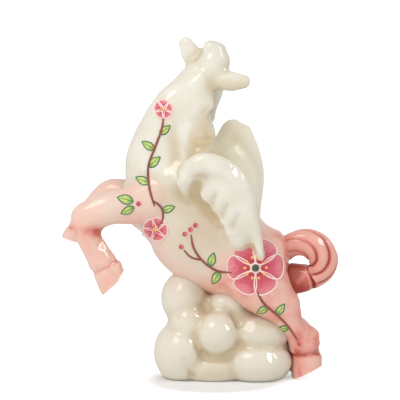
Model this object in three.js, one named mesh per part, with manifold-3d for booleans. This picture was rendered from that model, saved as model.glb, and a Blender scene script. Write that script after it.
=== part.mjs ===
// Winged horse figurine rearing on a cloud mound: slip-cast porcelain pieces luted together.
// Millimetres, +Z up. The horse faces -X and its near (left) side is -Y.
import * as THREE from "three";
import { mergeVertices } from "three/addons/utils/BufferGeometryUtils.js";
import Module from "manifold-3d";

const wasm = await Module();
wasm.setup();

// Driving dimensions of the castings.
const FIGURE_LENGTH = 140.6; // from the far fore hoof to the tail
const FIGURE_HEIGHT = 170; // from the shelf to the tip of the far ear
const SEAM = 0.3; // slip seam left between two luted castings
const WALL = 4.5; // wall of the hollow castings
const VENT_DIAMETER = 5; // air vent through the belly, the cloud and the floor of the base
const CHEST_WIDTH = 36;
const BARREL_WIDTH = 41;
const BARREL_DEPTH = 51;
const HAUNCH_WIDTH = 42;
const THIGH_WIDTH = 26;
const THIGH_SWELL = 1.6; // how far the thigh stands proud of the haunch
const NECK_WIDTH = 29;
const EAR_LENGTH = 22;
const EAR_WIDTH = 9.8;
const CANNON_THICKNESS = 12.5;
const FETLOCK_THICKNESS = 14;
const HOOF_WIDTH = 15.5;
const WING_THICKNESS = 7;
const TAIL_THICKNESS = 15;
const TAIL_STRANDS = 6;
const CRYSTAL_DIAMETER = 3.2;
const CRYSTAL_HEIGHT = 1.1;
const CRYSTAL_FACETS = 8;
const GIRDLE = 0.35; // height of the stone's upright edge as a part of its height
const TABLE = 0.6; // width of its flat top as a part of its diameter
const COLLAR_BAND = 0.6;
const COLLAR_SIDES = 20;
const SHELF = 0; // height of the surface that the figurine stands on

// Sides of the horse: a lateral place is a hand times its distance from the middle plane.
const NEAR = -1;
const FAR = 1;
const LATERAL = new THREE.Vector3(0, 1, 0);
const FLANK = BARREL_WIDTH / 2;

// Places are written for the pattern's own size and follow the figure when that is stretched.
const PATTERN = { length: 140.6, height: 170 };
const STRETCH = FIGURE_LENGTH / PATTERN.length;
const RISE = FIGURE_HEIGHT / PATTERN.height;
const GIRTH = (STRETCH + RISE) / 2; // growth of the depths seen from the side
const place = (x, y, z) => new THREE.Vector3(x * STRETCH, y, z * RISE);

// A rib is one cross-section of a casting: its centre, its depth seen from the side and its width.
const rib = (x, y, z, depth, width) => ({ centre: place(x, y, z), depth: depth * GIRTH, width });

// Trunk from the chest to the rump.
const TRUNK_RIBS = [
  rib(-30, 0, 95, 34, 28),
  rib(-20, 0, 91.5, 44.5, CHEST_WIDTH),
  rib(-8.6, 0, 83.4, BARREL_DEPTH - 1.6, 40),
  rib(2, 0, 71.5, BARREL_DEPTH, BARREL_WIDTH),
  rib(14, 0, 63, 47, 40),
  rib(26, 0, 58.5, 43, HAUNCH_WIDTH),
  rib(35, 0, 57, 34.4, 36),
];
const TRUNK_ENDS = [8, 9.5]; // reach of the rounded chest and rump beyond the outer ribs

// Neck from inside the chest up to the poll.
const NECK_RIBS = [
  rib(-16, 0, 96, 42, NECK_WIDTH + 4),
  rib(-17.5, 0, 110, 39, NECK_WIDTH),
  rib(-16, 0, 123, 30.6, NECK_WIDTH - 4),
  rib(-12.5, 0, 134.5, 23, NECK_WIDTH - 8),
  rib(-6, 0, 143.5, 18.2, 18),
  rib(0, 0.5, 152, 15.4, 16),
];
const NECK_ENDS = [4, 5];

// The head has axes of its own: towards the muzzle, out of the forehead and towards the far ear.
const SKULL = place(5.6, 2.4, 153);
const MUZZLEWARD = new THREE.Vector3(-0.1, 0.66, -0.75).normalize();
const EARWARD = new THREE.Vector3(-0.5, 0.65, 0.572).normalize();
const FOREHEAD = new THREE.Vector3().crossVectors(MUZZLEWARD, EARWARD);
const HEAD_SECTIONS = [
  { along: 0, out: -0.5, depth: 17, width: 16.5 },
  { along: 9, out: -1.5, depth: 20, width: 17 },
  { along: 18, out: -0.5, depth: 15.5, width: 13.5 },
  { along: 26, out: -0.3, depth: 12, width: 11 },
  { along: 33, out: -0.6, depth: 11.6, width: 11.5 },
];
const HEAD_ENDS = [6, 5];

// Ears: root, pointing direction and the direction across the paddle.
const NEAR_EAR = {
  root: place(3.2, -5, 148.9),
  towards: new THREE.Vector3(0.98, -0.2, -0.01),
  across: new THREE.Vector3(0.1, 0.9, -0.3),
};
const FAR_EAR = {
  root: place(1.6, 4, 150.2),
  towards: new THREE.Vector3(-0.47, 0.06, 0.88),
  across: new THREE.Vector3(0.2, 0.98, 0),
};
const EAR_PROFILE = [
  { along: 0.08, width: 0.72, depth: 0.66 },
  { along: 0.35, width: 0.9, depth: 0.7 },
  { along: 0.62, width: 1, depth: 0.62 },
  { along: 0.84, width: 0.74, depth: 0.46 },
];

const EAR_ROOT_DOME = 0.08; // reach of the rounded ends as parts of the ear's length
const EAR_TIP_DOME = 0.16;

const FORELOCK_RIBS = [
  rib(2.5, -2, 147, 15, 14),
  rib(5.5, -1.4, 153.5, 16.4, 15),
  rib(7.2, -0.8, 159.5, 15.6, 14.5),
  rib(7.2, -0.4, 163.6, 12, 11.5),
];
const FORELOCK_ENDS = [4, 4.6];

// Mane: flat locks lying on the side of the neck, distances out from the middle plane.
const MANE_UPPER_RIBS = [
  rib(1, -6.2, 151, 8, 8),
  rib(-1, -7.4, 145.2, 16, 8),
  rib(-2.4, -8.6, 138.6, 17, 7.4),
  rib(-1.6, -9.8, 132, 14, 6.6),
  rib(1.6, -10.6, 127.4, 8, 5.6),
];
const MANE_LOWER_RIBS = [
  rib(-1, -6.5, 137, 10, 9),
  rib(-1.5, -8.2, 129, 15, 9.5),
  rib(0, -9.8, 121.5, 16, 9.4),
  rib(2, -11.6, 114, 12, 8.8),
  rib(3.2, -13, 107, 7.5, 7.6),
];
const MANE_FAR_RIBS = [
  rib(-2, 6.6, 146, 9, 8),
  rib(-4.2, 8.6, 138, 13, 8),
  rib(-5, 9.8, 128, 14, 8),
  rib(-4, 11, 118, 12.6, 8),
  rib(-2, 11.8, 109, 9, 7.6),
];
const LOCK_ENDS = [3, 4];

// Forelegs: forearm, knee, cannon and fetlock.
const NEAR_FORELEG_RIBS = [
  rib(-20, -8.6, 90, 30, 20.4),
  rib(-35, -13, 87.4, 19, 17),
  rib(-46.5, -16, 86, 16.4, 15),
  rib(-55.4, -16.2, 80.6, 16.6, 14.5),
  rib(-55, -16, 72, CANNON_THICKNESS, CANNON_THICKNESS),
  rib(-51.6, -15.6, 65.2, CANNON_THICKNESS, CANNON_THICKNESS),
  rib(-48.6, -15.4, 59.8, FETLOCK_THICKNESS, FETLOCK_THICKNESS),
];
const FAR_FORELEG_RIBS = [
  rib(-20, 8.6, 91, 30, 20.4),
  rib(-35, 12.6, 90, 16.4, 16.4),
  rib(-44.6, 14.2, 89.8, 15.4, 14.5),
  rib(-50.6, 14.6, 85.4, 13.6, 13.4),
  rib(-55.6, 14.6, 79, CANNON_THICKNESS, CANNON_THICKNESS),
  rib(-59.4, 14.6, 73.8, FETLOCK_THICKNESS, FETLOCK_THICKNESS),
];
const FORELEG_ENDS = [5, 3];

// Hooves: the coronet that meets the fetlock, the middle of the sole and the way the sole faces.
const NEAR_FORE_HOOF = {
  coronet: place(-47.6, -15.4, 57.6),
  sole: place(-43.2, -15.2, 49.4),
  facing: new THREE.Vector3(0.77, 0, -0.64),
};
const FAR_FORE_HOOF = {
  coronet: place(-60.6, 14.6, 72.2),
  sole: place(-62.6, 14.6, 66.4),
  facing: new THREE.Vector3(-0.26, 0, -0.97),
};
const HIND_HOOF = {
  coronet: { x: 52.8, out: 9, z: 13.2 },
  sole: { x: 53.4, out: 9, z: 3.4 },
  facing: new THREE.Vector3(0.42, 0, -0.9),
};
const HOOF_LIFT = 0.6; // the raised hind hooves clear the shelf by this much
const CORONET_WIDTH = FETLOCK_THICKNESS - 0.8;
const HOOF_BLANK = 1.6; // length of a hoof before its sole is cut, in coronet-to-sole distances
const HOOF_ENDS = [2, 4];

// Hind legs: the thigh folded against the haunch, gaskin, cannon and fetlock.
const HIP_OUT = HAUNCH_WIDTH / 2 + THIGH_SWELL - THIGH_WIDTH / 2;
const HIND_LEG_SECTIONS = [
  { x: 24.5, out: HIP_OUT, z: 56.5, depth: 35, width: THIGH_WIDTH },
  { x: 32.4, out: HIP_OUT + 1.8, z: 45.4, depth: 28.6, width: THIGH_WIDTH - 3 },
  { x: 40, out: 12, z: 36.4, depth: 19.4, width: 18 },
  { x: 45.6, out: 11.4, z: 29, depth: 13.8, width: 14.6 },
  { x: 50.2, out: 10.2, z: 22.4, depth: 14.6, width: 14.4 },
  { x: 52.4, out: 9.4, z: 15.6, depth: 16, width: 15 },
];
const HIND_LEG_ENDS = [12, 3];
const FAR_HIND_SHIFT = -0.4; // the far hind leg stands a little further forward

// Wings: the arm is the rolled leading edge, the blade carries the feathers and the web joins them to the
// flank. Out counts from the flank.
const NEAR_ARM = [
  { x: -6.8, out: -6.5, z: 93.5, depth: 7.6, width: 10 },
  { x: -7.2, out: -4, z: 99, depth: 9, width: 11 },
  { x: -5, out: -0.6, z: 104.8, depth: 10.8, width: 11 },
  { x: 1, out: 1.8, z: 109.2, depth: 11.4, width: 9.6 },
  { x: 9.4, out: 2.8, z: 107.2, depth: 12.2, width: 8.8 },
  { x: 17, out: 3.4, z: 102, depth: 11.2, width: 8.4 },
  { x: 22, out: 3.6, z: 94, depth: 9.2, width: 8 },
  { x: 25, out: 3.4, z: 83.4, depth: 7.8, width: 7 },
  { x: 27.2, out: 2.9, z: 76.2, depth: 6, width: 6 },
  { x: 29, out: 2.2, z: 69, depth: 4.6, width: 4.8 },
  { x: 29.7, out: 1.8, z: 65.4, depth: 3.6, width: 4 },
];
const NEAR_BLADE = [
  { x: 5.6, out: 2, z: 104.5, depth: 13, width: 6 },
  { x: 12, out: 3.2, z: 98.4, depth: 22, width: WING_THICKNESS },
  { x: 17.4, out: 3.6, z: 91, depth: 21, width: WING_THICKNESS },
  { x: 21, out: 3.4, z: 83.6, depth: 16, width: 6.4 },
  { x: 23.8, out: 2.8, z: 77.4, depth: 9, width: 5.6 },
];
const NEAR_WEB = [
  { x: -6, out: -7, z: 96, depth: 12, width: 9 },
  { x: 1, out: -4, z: 98, depth: 13, width: 9 },
  { x: 8, out: -2.6, z: 93, depth: 12, width: 11 },
  { x: 13.6, out: -2, z: 86, depth: 12, width: 11 },
  { x: 19, out: -1.8, z: 80.4, depth: 10, width: 10 },
  { x: 24, out: -1.2, z: 75, depth: 7, width: 8 },
];
const NEAR_LOBES = [
  { from: { x: 8, out: 1.8, z: 103 }, to: { x: 4.8, out: 2, z: 94.2 }, breadth: 9.6 },
  { from: { x: 13, out: 2.2, z: 98 }, to: { x: 10.2, out: 2.2, z: 89 }, breadth: 11 },
  { from: { x: 18, out: 2.4, z: 92 }, to: { x: 14.6, out: 2, z: 82.2 }, breadth: 10.5 },
  { from: { x: 21.6, out: 2.2, z: 86 }, to: { x: 17.2, out: 1, z: 76 }, breadth: 10 },
  { from: { x: 24, out: 1.6, z: 80 }, to: { x: 19, out: 0, z: 71 }, breadth: 9.5 },
];
const FAR_ARM = [
  { x: -6, out: -3.4, z: 90, depth: 11, width: 11 },
  { x: 0, out: -0.8, z: 97, depth: 13, width: 12 },
  { x: 6.2, out: 1.6, z: 104.2, depth: 12.4, width: 11 },
  { x: 11.4, out: 3.6, z: 112.4, depth: 12, width: 10 },
  { x: 16.2, out: 5, z: 120.6, depth: 11.8, width: 9.8 },
];
const FAR_BLADE = [
  { x: 18.4, out: 4.4, z: 120.4, depth: 15.4, width: 9.4 },
  { x: 20.6, out: 4.4, z: 110.4, depth: 19, width: WING_THICKNESS + 2 },
  { x: 22, out: 4.4, z: 100, depth: 21, width: WING_THICKNESS + 1.4 },
  { x: 22.6, out: 4, z: 88, depth: 19, width: 7.4 },
  { x: 24.4, out: 3.2, z: 77, depth: 13, width: 6 },
  { x: 26, out: 2.2, z: 68, depth: 7, width: 4.4 },
];
const FAR_WEB = [
  { x: 13, out: 1.5, z: 110, depth: 16, width: 11 },
  { x: 16.5, out: 2, z: 103, depth: 20, width: 12 },
  { x: 19.6, out: 2, z: 94, depth: 20, width: 11.4 },
  { x: 22, out: 1.8, z: 84, depth: 16, width: 9.6 },
];
const FAR_LOBES = [
  { from: { x: 14.6, out: 3, z: 111 }, to: { x: 10, out: 2.6, z: 102 }, breadth: 12 },
  { from: { x: 17, out: 3, z: 104 }, to: { x: 11.8, out: 2.6, z: 94 }, breadth: 12 },
  { from: { x: 19, out: 2.8, z: 95 }, to: { x: 14.4, out: 2.2, z: 84 }, breadth: 11.5 },
  { from: { x: 21, out: 2.4, z: 86 }, to: { x: 18, out: 1.6, z: 75 }, breadth: 10.5 },
];
const WING_ENDS = [4, 4];
const FAR_ARM_ENDS = [4, 6.5]; // the raised wing has a rounder top
const FEATHER_THINNING = 0.88; // a feather lobe is thinner than the blade by this part
const FEATHER_ROOT = 2; // reach of a lobe's rounded root
const FEATHER_TIP = 0.45; // reach of its rounded tip as a part of the lobe's breadth

// Tail: out from the rump, round to the right and back to the thigh.
const TAIL_RIBS = [
  rib(40, 0, 62.2, 12, 12),
  rib(46.6, -0.6, 66.4, TAIL_THICKNESS - 2.4, TAIL_THICKNESS - 2),
  rib(53.2, -1.6, 67.4, TAIL_THICKNESS - 0.6, TAIL_THICKNESS - 0.6),
  rib(58.6, -2, 64.8, TAIL_THICKNESS + 0.6, TAIL_THICKNESS),
  rib(61.6, -1.8, 59.8, TAIL_THICKNESS + 0.8, TAIL_THICKNESS),
  rib(61, -1, 54.4, TAIL_THICKNESS - 1, TAIL_THICKNESS - 0.4),
  rib(57.6, 0, 50.6, TAIL_THICKNESS - 2.4, TAIL_THICKNESS - 1),
  rib(52.4, 1.2, 49.2, TAIL_THICKNESS - 0.6, TAIL_THICKNESS - 1),
  rib(46.6, 2, 48.6, TAIL_THICKNESS + 1.4, TAIL_THICKNESS - 1.2),
];
const TAIL_ENDS = [4, 4];
const STRAND_RELIEF = 0.09; // depth of the strand grooves as a part of the tail's radius
const STRAND_TWIST = 3.2; // strands that pass one side of the tail from root to tip

// Cloud lobes: centre and half sizes along x, y and z.
const lobe = (x, y, z, rx, ry, rz) => ({
  centre: place(x, y, z),
  half: new THREE.Vector3(rx * STRETCH, ry, rz * RISE),
});
const BASE_LOBES = [
  lobe(-9.4, -6, 13, 13.8, 18.2, 15.8),
  lobe(7, -6, 6, 19, 16.5, 10.4),
  lobe(28.6, -9, 8.6, 17.6, 17, 11.8),
  lobe(-8, 9, 11, 14, 17, 14.4),
  lobe(10, 12, 9, 15, 14.5, 11.6),
  lobe(29.6, 10, 10.4, 16.2, 15.5, 12.6),
  lobe(10, 0, 12, 20, 18, 13),
];
const COLUMN_LOBES = [
  lobe(-8, -1, 39.4, 11.6, 15, 13.6),
  lobe(-5.4, -4.6, 27, 11, 15, 13),
];
const CREST_LOBES = [
  lobe(8.4, -12.6, 23.2, 11.6, 12.4, 11.4),
  lobe(13.4, -5, 36, 10, 10, 8.6),
  lobe(29.4, -5.6, 22.4, 16, 15.2, 10.8),
  lobe(8, 11, 26, 13.5, 12.5, 13.4),
  lobe(26, 9.5, 23, 15.5, 13.5, 11),
  lobe(17, 0, 27, 15, 15, 12),
];
const BASE_CAVITY = lobe(9, 0, 8, 20, 9, 5.5);
const DRAIN = place(-6, 0, 0);

// Where the crystals sit on the haunch, in the side view.
const CRYSTAL_PLACE = place(27.4, 0, 57.6);

// Fineness of the surfaces: points round a section and sections along a casting.
const FINE = { around: 20, along: 12, cap: 3 };
const MIDDLE = { around: 14, along: 10, cap: 2 };
const COARSE = { around: 12, along: 6, cap: 2 };
const ROLLED = { around: 14, along: 20, cap: 2 };
const VANE = { around: 10, along: 1, cap: 2 };
const STRANDED = { around: 4 * TAIL_STRANDS, along: 18, cap: 2 };
const LOBE_FACETS = { around: 14, down: 9 };
const VENT_SIDES = 16;
const BLOCK = 200; // side of a cutting block, larger than the figurine

// Closed skin swept through ribs with domed ends; a positive grow thickens it all round.
function casting(ribs, { ends, fineness = MIDDLE, side = LATERAL, grow = 0, relief = () => 1 }) {
  const { around, along, cap } = fineness;
  const spine = new THREE.CatmullRomCurve3(ribs.map((each) => each.centre));
  const girths = ribs.map((each) => new THREE.Vector3(each.depth / 2, each.width / 2, 0));
  const girth = new THREE.CatmullRomCurve3(girths, false, "catmullrom", 0.5);
  const rings = along + 2 * cap;
  const skin = new THREE.SphereGeometry(1, around, rings);
  const points = skin.attributes.position;
  for (let ring = 0; ring <= rings; ring += 1) {
    const part = THREE.MathUtils.clamp((ring - cap) / along, 0, 1);
    const { reach, scale } = domed(ring, rings, cap, ends, grow);
    const ahead = spine.getTangent(part);
    const wide = side.clone().addScaledVector(ahead, -side.dot(ahead)).normalize();
    const deep = new THREE.Vector3().crossVectors(wide, ahead);
    const centre = spine.getPoint(part).addScaledVector(ahead, reach);
    const half = girth.getPoint(part);
    for (let column = 0; column <= around; column += 1) {
      const angle = (2 * Math.PI * (column % around)) / around;
      const size = scale * relief(angle, part);
      const point = centre.clone();
      point.addScaledVector(deep, -Math.cos(angle) * (half.x + grow) * size);
      point.addScaledVector(wide, Math.sin(angle) * (half.y + grow) * size);
      points.setXYZ(ring * (around + 1) + column, point.x, point.y, point.z);
    }
  }
  return solid(skin);
}

// How far a ring of a domed end lies beyond the outer rib, and how much smaller it is.
function domed(ring, rings, cap, ends, grow) {
  const before = Math.max(cap - ring, 0) / cap;
  const after = Math.max(ring - (rings - cap), 0) / cap;
  const turn = (Math.PI / 2) * (before + after);
  const length = before > 0 ? -(ends[0] + grow) : ends[1] + grow;
  return { reach: length * Math.sin(turn), scale: before + after < 1 ? Math.cos(turn) : 0 };
}

// Watertight body from a closed surface.
function solid(geometry) {
  const bare = new THREE.BufferGeometry();
  bare.setAttribute("position", geometry.attributes.position);
  bare.setIndex(geometry.index);
  const joined = mergeVertices(bare, 1e-4);
  return new wasm.Manifold(
    new wasm.Mesh({
      numProp: 3,
      vertProperties: new Float32Array(joined.attributes.position.array),
      triVerts: new Uint32Array(joined.index.array),
    }),
  );
}

const union = (bodies) => bodies.reduce((whole, body) => whole.add(body));

// The largest of the bodies left by a cut; offcuts are thrown away.
function largest(body) {
  const pieces = body.decompose();
  return pieces.reduce((best, each) => (each.volume() > best.volume() ? each : best));
}

// A casting trimmed to sit a slip seam away from the castings that it is luted to.
function luted(shape, neighbours) {
  const trimmed = neighbours.reduce((body, neighbour) => body.subtract(neighbour(SEAM)), shape(0));
  return largest(trimmed);
}

function ball({ centre, half }, grow) {
  const geometry = new THREE.SphereGeometry(1, LOBE_FACETS.around, LOBE_FACETS.down);
  geometry.scale(half.x + grow, half.y + grow, half.z + grow);
  geometry.translate(centre.x, centre.y, centre.z);
  return solid(geometry);
}

// Everything on the far side of a flat face, as a block to cut away.
function beyond(point, facing) {
  const size = BLOCK;
  const geometry = new THREE.BoxGeometry(size, size, size);
  geometry.translate(0, 0, size / 2);
  const up = new THREE.Vector3(0, 0, 1);
  geometry.applyQuaternion(new THREE.Quaternion().setFromUnitVectors(up, facing.clone().normalize()));
  geometry.translate(point.x, point.y, point.z);
  return solid(geometry);
}

const belowShelf = beyond(new THREE.Vector3(0, 0, SHELF), new THREE.Vector3(0, 0, -1));

function upright(diameter, x, y, bottom, top) {
  const geometry = new THREE.CylinderGeometry(diameter / 2, diameter / 2, top - bottom, VENT_SIDES);
  geometry.rotateX(Math.PI / 2);
  geometry.translate(x, y, (top + bottom) / 2);
  return solid(geometry);
}

const trunk = (grow) => casting(TRUNK_RIBS, { ends: TRUNK_ENDS, fineness: FINE, grow });
const neck = (grow) => casting(NECK_RIBS, { ends: NECK_ENDS, grow });
const forelock = (grow) => casting(FORELOCK_RIBS, { ends: FORELOCK_ENDS, fineness: COARSE, grow });
const maneUpper = (grow) => casting(MANE_UPPER_RIBS, { ends: LOCK_ENDS, fineness: COARSE, grow });
const maneLower = (grow) => casting(MANE_LOWER_RIBS, { ends: LOCK_ENDS, fineness: COARSE, grow });
const maneFar = (grow) => casting(MANE_FAR_RIBS, { ends: LOCK_ENDS, fineness: COARSE, grow });

function head(grow) {
  const ribs = HEAD_SECTIONS.map(({ along, out, depth, width }) => {
    const centre = SKULL.clone().addScaledVector(MUZZLEWARD, along).addScaledVector(FOREHEAD, out);
    return { centre, depth, width };
  });
  return casting(ribs, { ends: HEAD_ENDS, side: EARWARD, grow });
}

function ear({ root, towards, across }, grow) {
  const ribs = EAR_PROFILE.map(({ along, width, depth }) => ({
    centre: root.clone().addScaledVector(towards, along * EAR_LENGTH),
    depth: width * EAR_WIDTH,
    width: depth * EAR_WIDTH,
  }));
  const ends = [EAR_LENGTH * EAR_ROOT_DOME, EAR_LENGTH * EAR_TIP_DOME];
  return casting(ribs, { ends, fineness: COARSE, side: across, grow });
}

const nearEar = (grow) => ear(NEAR_EAR, grow);
const farEar = (grow) => ear(FAR_EAR, grow);

// A hoof flares from the coronet and is cut flat at the sole.
function hoof({ coronet, sole, facing }, grow) {
  const down = sole.clone().sub(coronet);
  const end = coronet.clone().addScaledVector(down, HOOF_BLANK);
  const ribs = [
    { centre: coronet, depth: CORONET_WIDTH, width: CORONET_WIDTH },
    { centre: sole, depth: HOOF_WIDTH, width: HOOF_WIDTH },
    { centre: end, depth: HOOF_WIDTH, width: HOOF_WIDTH },
  ];
  const blank = casting(ribs, { ends: HOOF_ENDS, fineness: COARSE, grow });
  return blank.subtract(beyond(sole.clone().addScaledVector(facing, grow), facing));
}

function foreleg(ribs, foot, grow) {
  return casting(ribs, { ends: FORELEG_ENDS, fineness: MIDDLE, grow }).add(hoof(foot, grow));
}

const nearForeleg = (grow) => foreleg(NEAR_FORELEG_RIBS, NEAR_FORE_HOOF, grow);
const farForeleg = (grow) => foreleg(FAR_FORELEG_RIBS, FAR_FORE_HOOF, grow);

function hindLeg(hand, shift, grow) {
  const placed = ({ x, out, z }) => place(x + shift, hand * out, z);
  const ribs = HIND_LEG_SECTIONS.map((each) =>
    rib(each.x + shift, hand * each.out, each.z, each.depth, each.width),
  );
  const foot = {
    coronet: placed(HIND_HOOF.coronet),
    sole: placed(HIND_HOOF.sole),
    facing: HIND_HOOF.facing,
  };
  const toe = beyond(new THREE.Vector3(0, 0, SHELF + HOOF_LIFT - grow), new THREE.Vector3(0, 0, -1));
  return casting(ribs, { ends: HIND_LEG_ENDS, grow }).add(hoof(foot, grow).subtract(toe));
}

const nearHindLeg = (grow) => hindLeg(NEAR, 0, grow);
const farHindLeg = (grow) => hindLeg(FAR, FAR_HIND_SHIFT, grow);

// A place on a wing, counted out from the flank of the trunk.
const onWing = (hand, { x, out, z }) => place(x, hand * (FLANK + out), z);

function wingSweep(hand, sections, fineness, grow, ends = WING_ENDS) {
  const ribs = sections.map((each) => ({ ...each, centre: onWing(hand, each), depth: each.depth * GIRTH }));
  return casting(ribs, { ends, fineness, grow });
}

// One rounded feather lobe under the edge of the blade.
function feather(hand, { from, to, breadth }, grow) {
  const ribs = [from, to].map((end) => ({
    centre: onWing(hand, end),
    depth: breadth * GIRTH,
    width: WING_THICKNESS * FEATHER_THINNING,
  }));
  return casting(ribs, { ends: [FEATHER_ROOT, breadth * FEATHER_TIP], fineness: VANE, grow });
}

function feathers(hand, { blade, web, lobes }, grow) {
  const vanes = lobes.map((each) => feather(hand, each, grow));
  return union([wingSweep(hand, blade, MIDDLE, grow), wingSweep(hand, web, MIDDLE, grow), ...vanes]);
}

const nearArm = (grow) => wingSweep(NEAR, NEAR_ARM, ROLLED, grow);
const farArm = (grow) => wingSweep(FAR, FAR_ARM, MIDDLE, grow, FAR_ARM_ENDS);
const nearFeathers = (grow) => feathers(NEAR, { blade: NEAR_BLADE, web: NEAR_WEB, lobes: NEAR_LOBES }, grow);
const farFeathers = (grow) => feathers(FAR, { blade: FAR_BLADE, web: FAR_WEB, lobes: FAR_LOBES }, grow);

function tail(grow) {
  const strand = (angle, part) => {
    const phase = TAIL_STRANDS * angle + 2 * Math.PI * STRAND_TWIST * part;
    return 1 - STRAND_RELIEF * (1 - Math.abs(Math.cos(phase / 2)));
  };
  return casting(TAIL_RIBS, { ends: TAIL_ENDS, fineness: STRANDED, grow, relief: strand });
}

const lobes = (list, grow) => union(list.map((each) => ball(each, grow)));
const cloudBase = (grow) => lobes(BASE_LOBES, grow).subtract(belowShelf);
const cloudColumn = (grow) => lobes(COLUMN_LOBES, grow);
const cloudCrest = (grow) => lobes(CREST_LOBES, grow);

const ventTop = TRUNK_RIBS[3].centre.z;
const vent = upright(VENT_DIAMETER, DRAIN.x, DRAIN.y, SHELF - 1, ventTop);

// Hollow trunk, vented through the belly and up into the neck.
function bodyShell() {
  const cavity = trunk(-WALL);
  const [low, high] = [TRUNK_RIBS[2].centre.z, NECK_RIBS[2].centre.z];
  const neckVent = upright(VENT_DIAMETER, NECK_RIBS[1].centre.x, 0, low, high);
  return largest(trunk(0).subtract(cavity).subtract(vent).subtract(neckVent));
}

// Hollow neck, open where it is luted to the trunk.
function neckShell() {
  return luted(neck, [trunk]).subtract(neck(-WALL));
}

function baseShell() {
  const hollow = ball(BASE_CAVITY, 0);
  const { x, y, z } = BASE_CAVITY.centre;
  const channel = upright(VENT_DIAMETER, x, y, SHELF - 1, z);
  const outside = luted(cloudBase, [nearHindLeg, farHindLeg, trunk]);
  return [hollow, channel, vent].reduce((body, cut) => body.subtract(cut), outside);
}

// Glazes and stone.
const glaze = (color) => new THREE.MeshStandardMaterial({ color, roughness: 0.12, metalness: 0 });
const creamGlaze = glaze(0xeee9da);
const blushGlaze = glaze(0xe9c2ae);
const coralGlaze = glaze(0xd98f7a);
const cloudGlaze = glaze(0xefece0);
const slipRim = glaze(0xf4e6dc);
const greenStone = new THREE.MeshStandardMaterial({ color: 0x0e4a33, roughness: 0.05, metalness: 0 });

function piece(name, body, material) {
  const { vertProperties, triVerts } = body.getMesh();
  const geometry = new THREE.BufferGeometry();
  geometry.setAttribute("position", new THREE.BufferAttribute(new Float32Array(vertProperties), 3));
  geometry.setIndex(new THREE.BufferAttribute(new Uint32Array(triVerts), 1));
  geometry.computeVertexNormals();
  const mesh = new THREE.Mesh(geometry, material);
  mesh.name = name;
  return mesh;
}

// Seat of a crystal on one haunch: the outermost point there and the way the glaze faces.
function haunchSeat(hand, castings) {
  const start = new THREE.Vector3(CRYSTAL_PLACE.x, hand * HAUNCH_WIDTH * 2, CRYSTAL_PLACE.z);
  const ray = new THREE.Raycaster(start, new THREE.Vector3(0, -hand, 0));
  const hit = ray.intersectObjects(castings)[0];
  return { point: hit.point, facing: hit.face.normal };
}

// Turned solid from a half profile of [radius, height] pairs, standing on its seat.
function turned(profile, sides, { point, facing }) {
  const outline = profile.map(([radius, height]) => new THREE.Vector2(radius, height));
  const geometry = new THREE.LatheGeometry([...outline, outline[0]], sides);
  geometry.translate(0, SEAM, 0);
  geometry.applyQuaternion(new THREE.Quaternion().setFromUnitVectors(LATERAL, facing));
  geometry.translate(point.x, point.y, point.z);
  return solid(geometry);
}

function crystal(seat) {
  const radius = CRYSTAL_DIAMETER / 2;
  const profile = [
    [0, 0],
    [radius, 0],
    [radius, CRYSTAL_HEIGHT * GIRDLE],
    [radius * TABLE, CRYSTAL_HEIGHT],
    [0, CRYSTAL_HEIGHT],
  ];
  return turned(profile, CRYSTAL_FACETS, seat);
}

function collar(seat) {
  const inside = CRYSTAL_DIAMETER / 2 + SEAM;
  const outside = inside + COLLAR_BAND;
  const shoulder = CRYSTAL_HEIGHT * GIRDLE;
  const profile = [
    [inside, 0],
    [outside, 0],
    [outside, shoulder],
    [(inside + outside) / 2, shoulder + COLLAR_BAND / 2],
    [inside, shoulder],
  ];
  return turned(profile, COLLAR_SIDES, seat);
}

function buildFigurine() {
  const figurine = new THREE.Group();
  const add = (name, body, material) => figurine.add(piece(name, body, material));
  add("body_shell", bodyShell(), blushGlaze);
  add("neck", neckShell(), creamGlaze);
  add("head", luted(head, [neck]), creamGlaze);
  add("forelock", luted(forelock, [neck, head]), creamGlaze);
  add("near_ear", luted(nearEar, [neck, head, forelock]), creamGlaze);
  add("far_ear", luted(farEar, [neck, head, forelock]), creamGlaze);
  add("mane_upper_lock", luted(maneUpper, [neck, head, forelock, nearEar]), creamGlaze);
  add("mane_lower_lock", luted(maneLower, [neck, trunk, maneUpper]), creamGlaze);
  add("mane_far_lock", luted(maneFar, [neck, trunk, head, forelock, farEar]), creamGlaze);
  add("near_foreleg", luted(nearForeleg, [trunk, neck]), blushGlaze);
  add("far_foreleg", luted(farForeleg, [trunk, neck, nearForeleg]), blushGlaze);
  add("near_hind_leg", luted(nearHindLeg, [trunk]), blushGlaze);
  add("far_hind_leg", luted(farHindLeg, [trunk, nearHindLeg]), blushGlaze);
  add("near_wing_arm", luted(nearArm, [trunk, neck, maneLower]), creamGlaze);
  add("near_wing_feathers", luted(nearFeathers, [trunk, neck, nearArm, nearHindLeg, maneLower]), creamGlaze);
  add("far_wing_arm", luted(farArm, [trunk, neck, maneFar]), creamGlaze);
  add("far_wing_feathers", luted(farFeathers, [trunk, neck, farArm, farHindLeg, maneFar]), creamGlaze);
  add("tail", luted(tail, [trunk, nearHindLeg, farHindLeg]), coralGlaze);
  add("cloud_base", baseShell(), cloudGlaze);
  const undersides = [trunk, cloudBase, nearHindLeg, farHindLeg];
  add("cloud_column", luted(cloudColumn, undersides).subtract(vent), cloudGlaze);
  add("cloud_crest", luted(cloudCrest, [...undersides, cloudColumn]), cloudGlaze);
  for (const [side, hand] of [["near", NEAR], ["far", FAR]]) {
    const seat = haunchSeat(hand, figurine.children);
    add(`${side}_crystal`, crystal(seat), greenStone);
    add(`${side}_crystal_collar`, collar(seat), slipRim);
  }
  return figurine;
}

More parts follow.
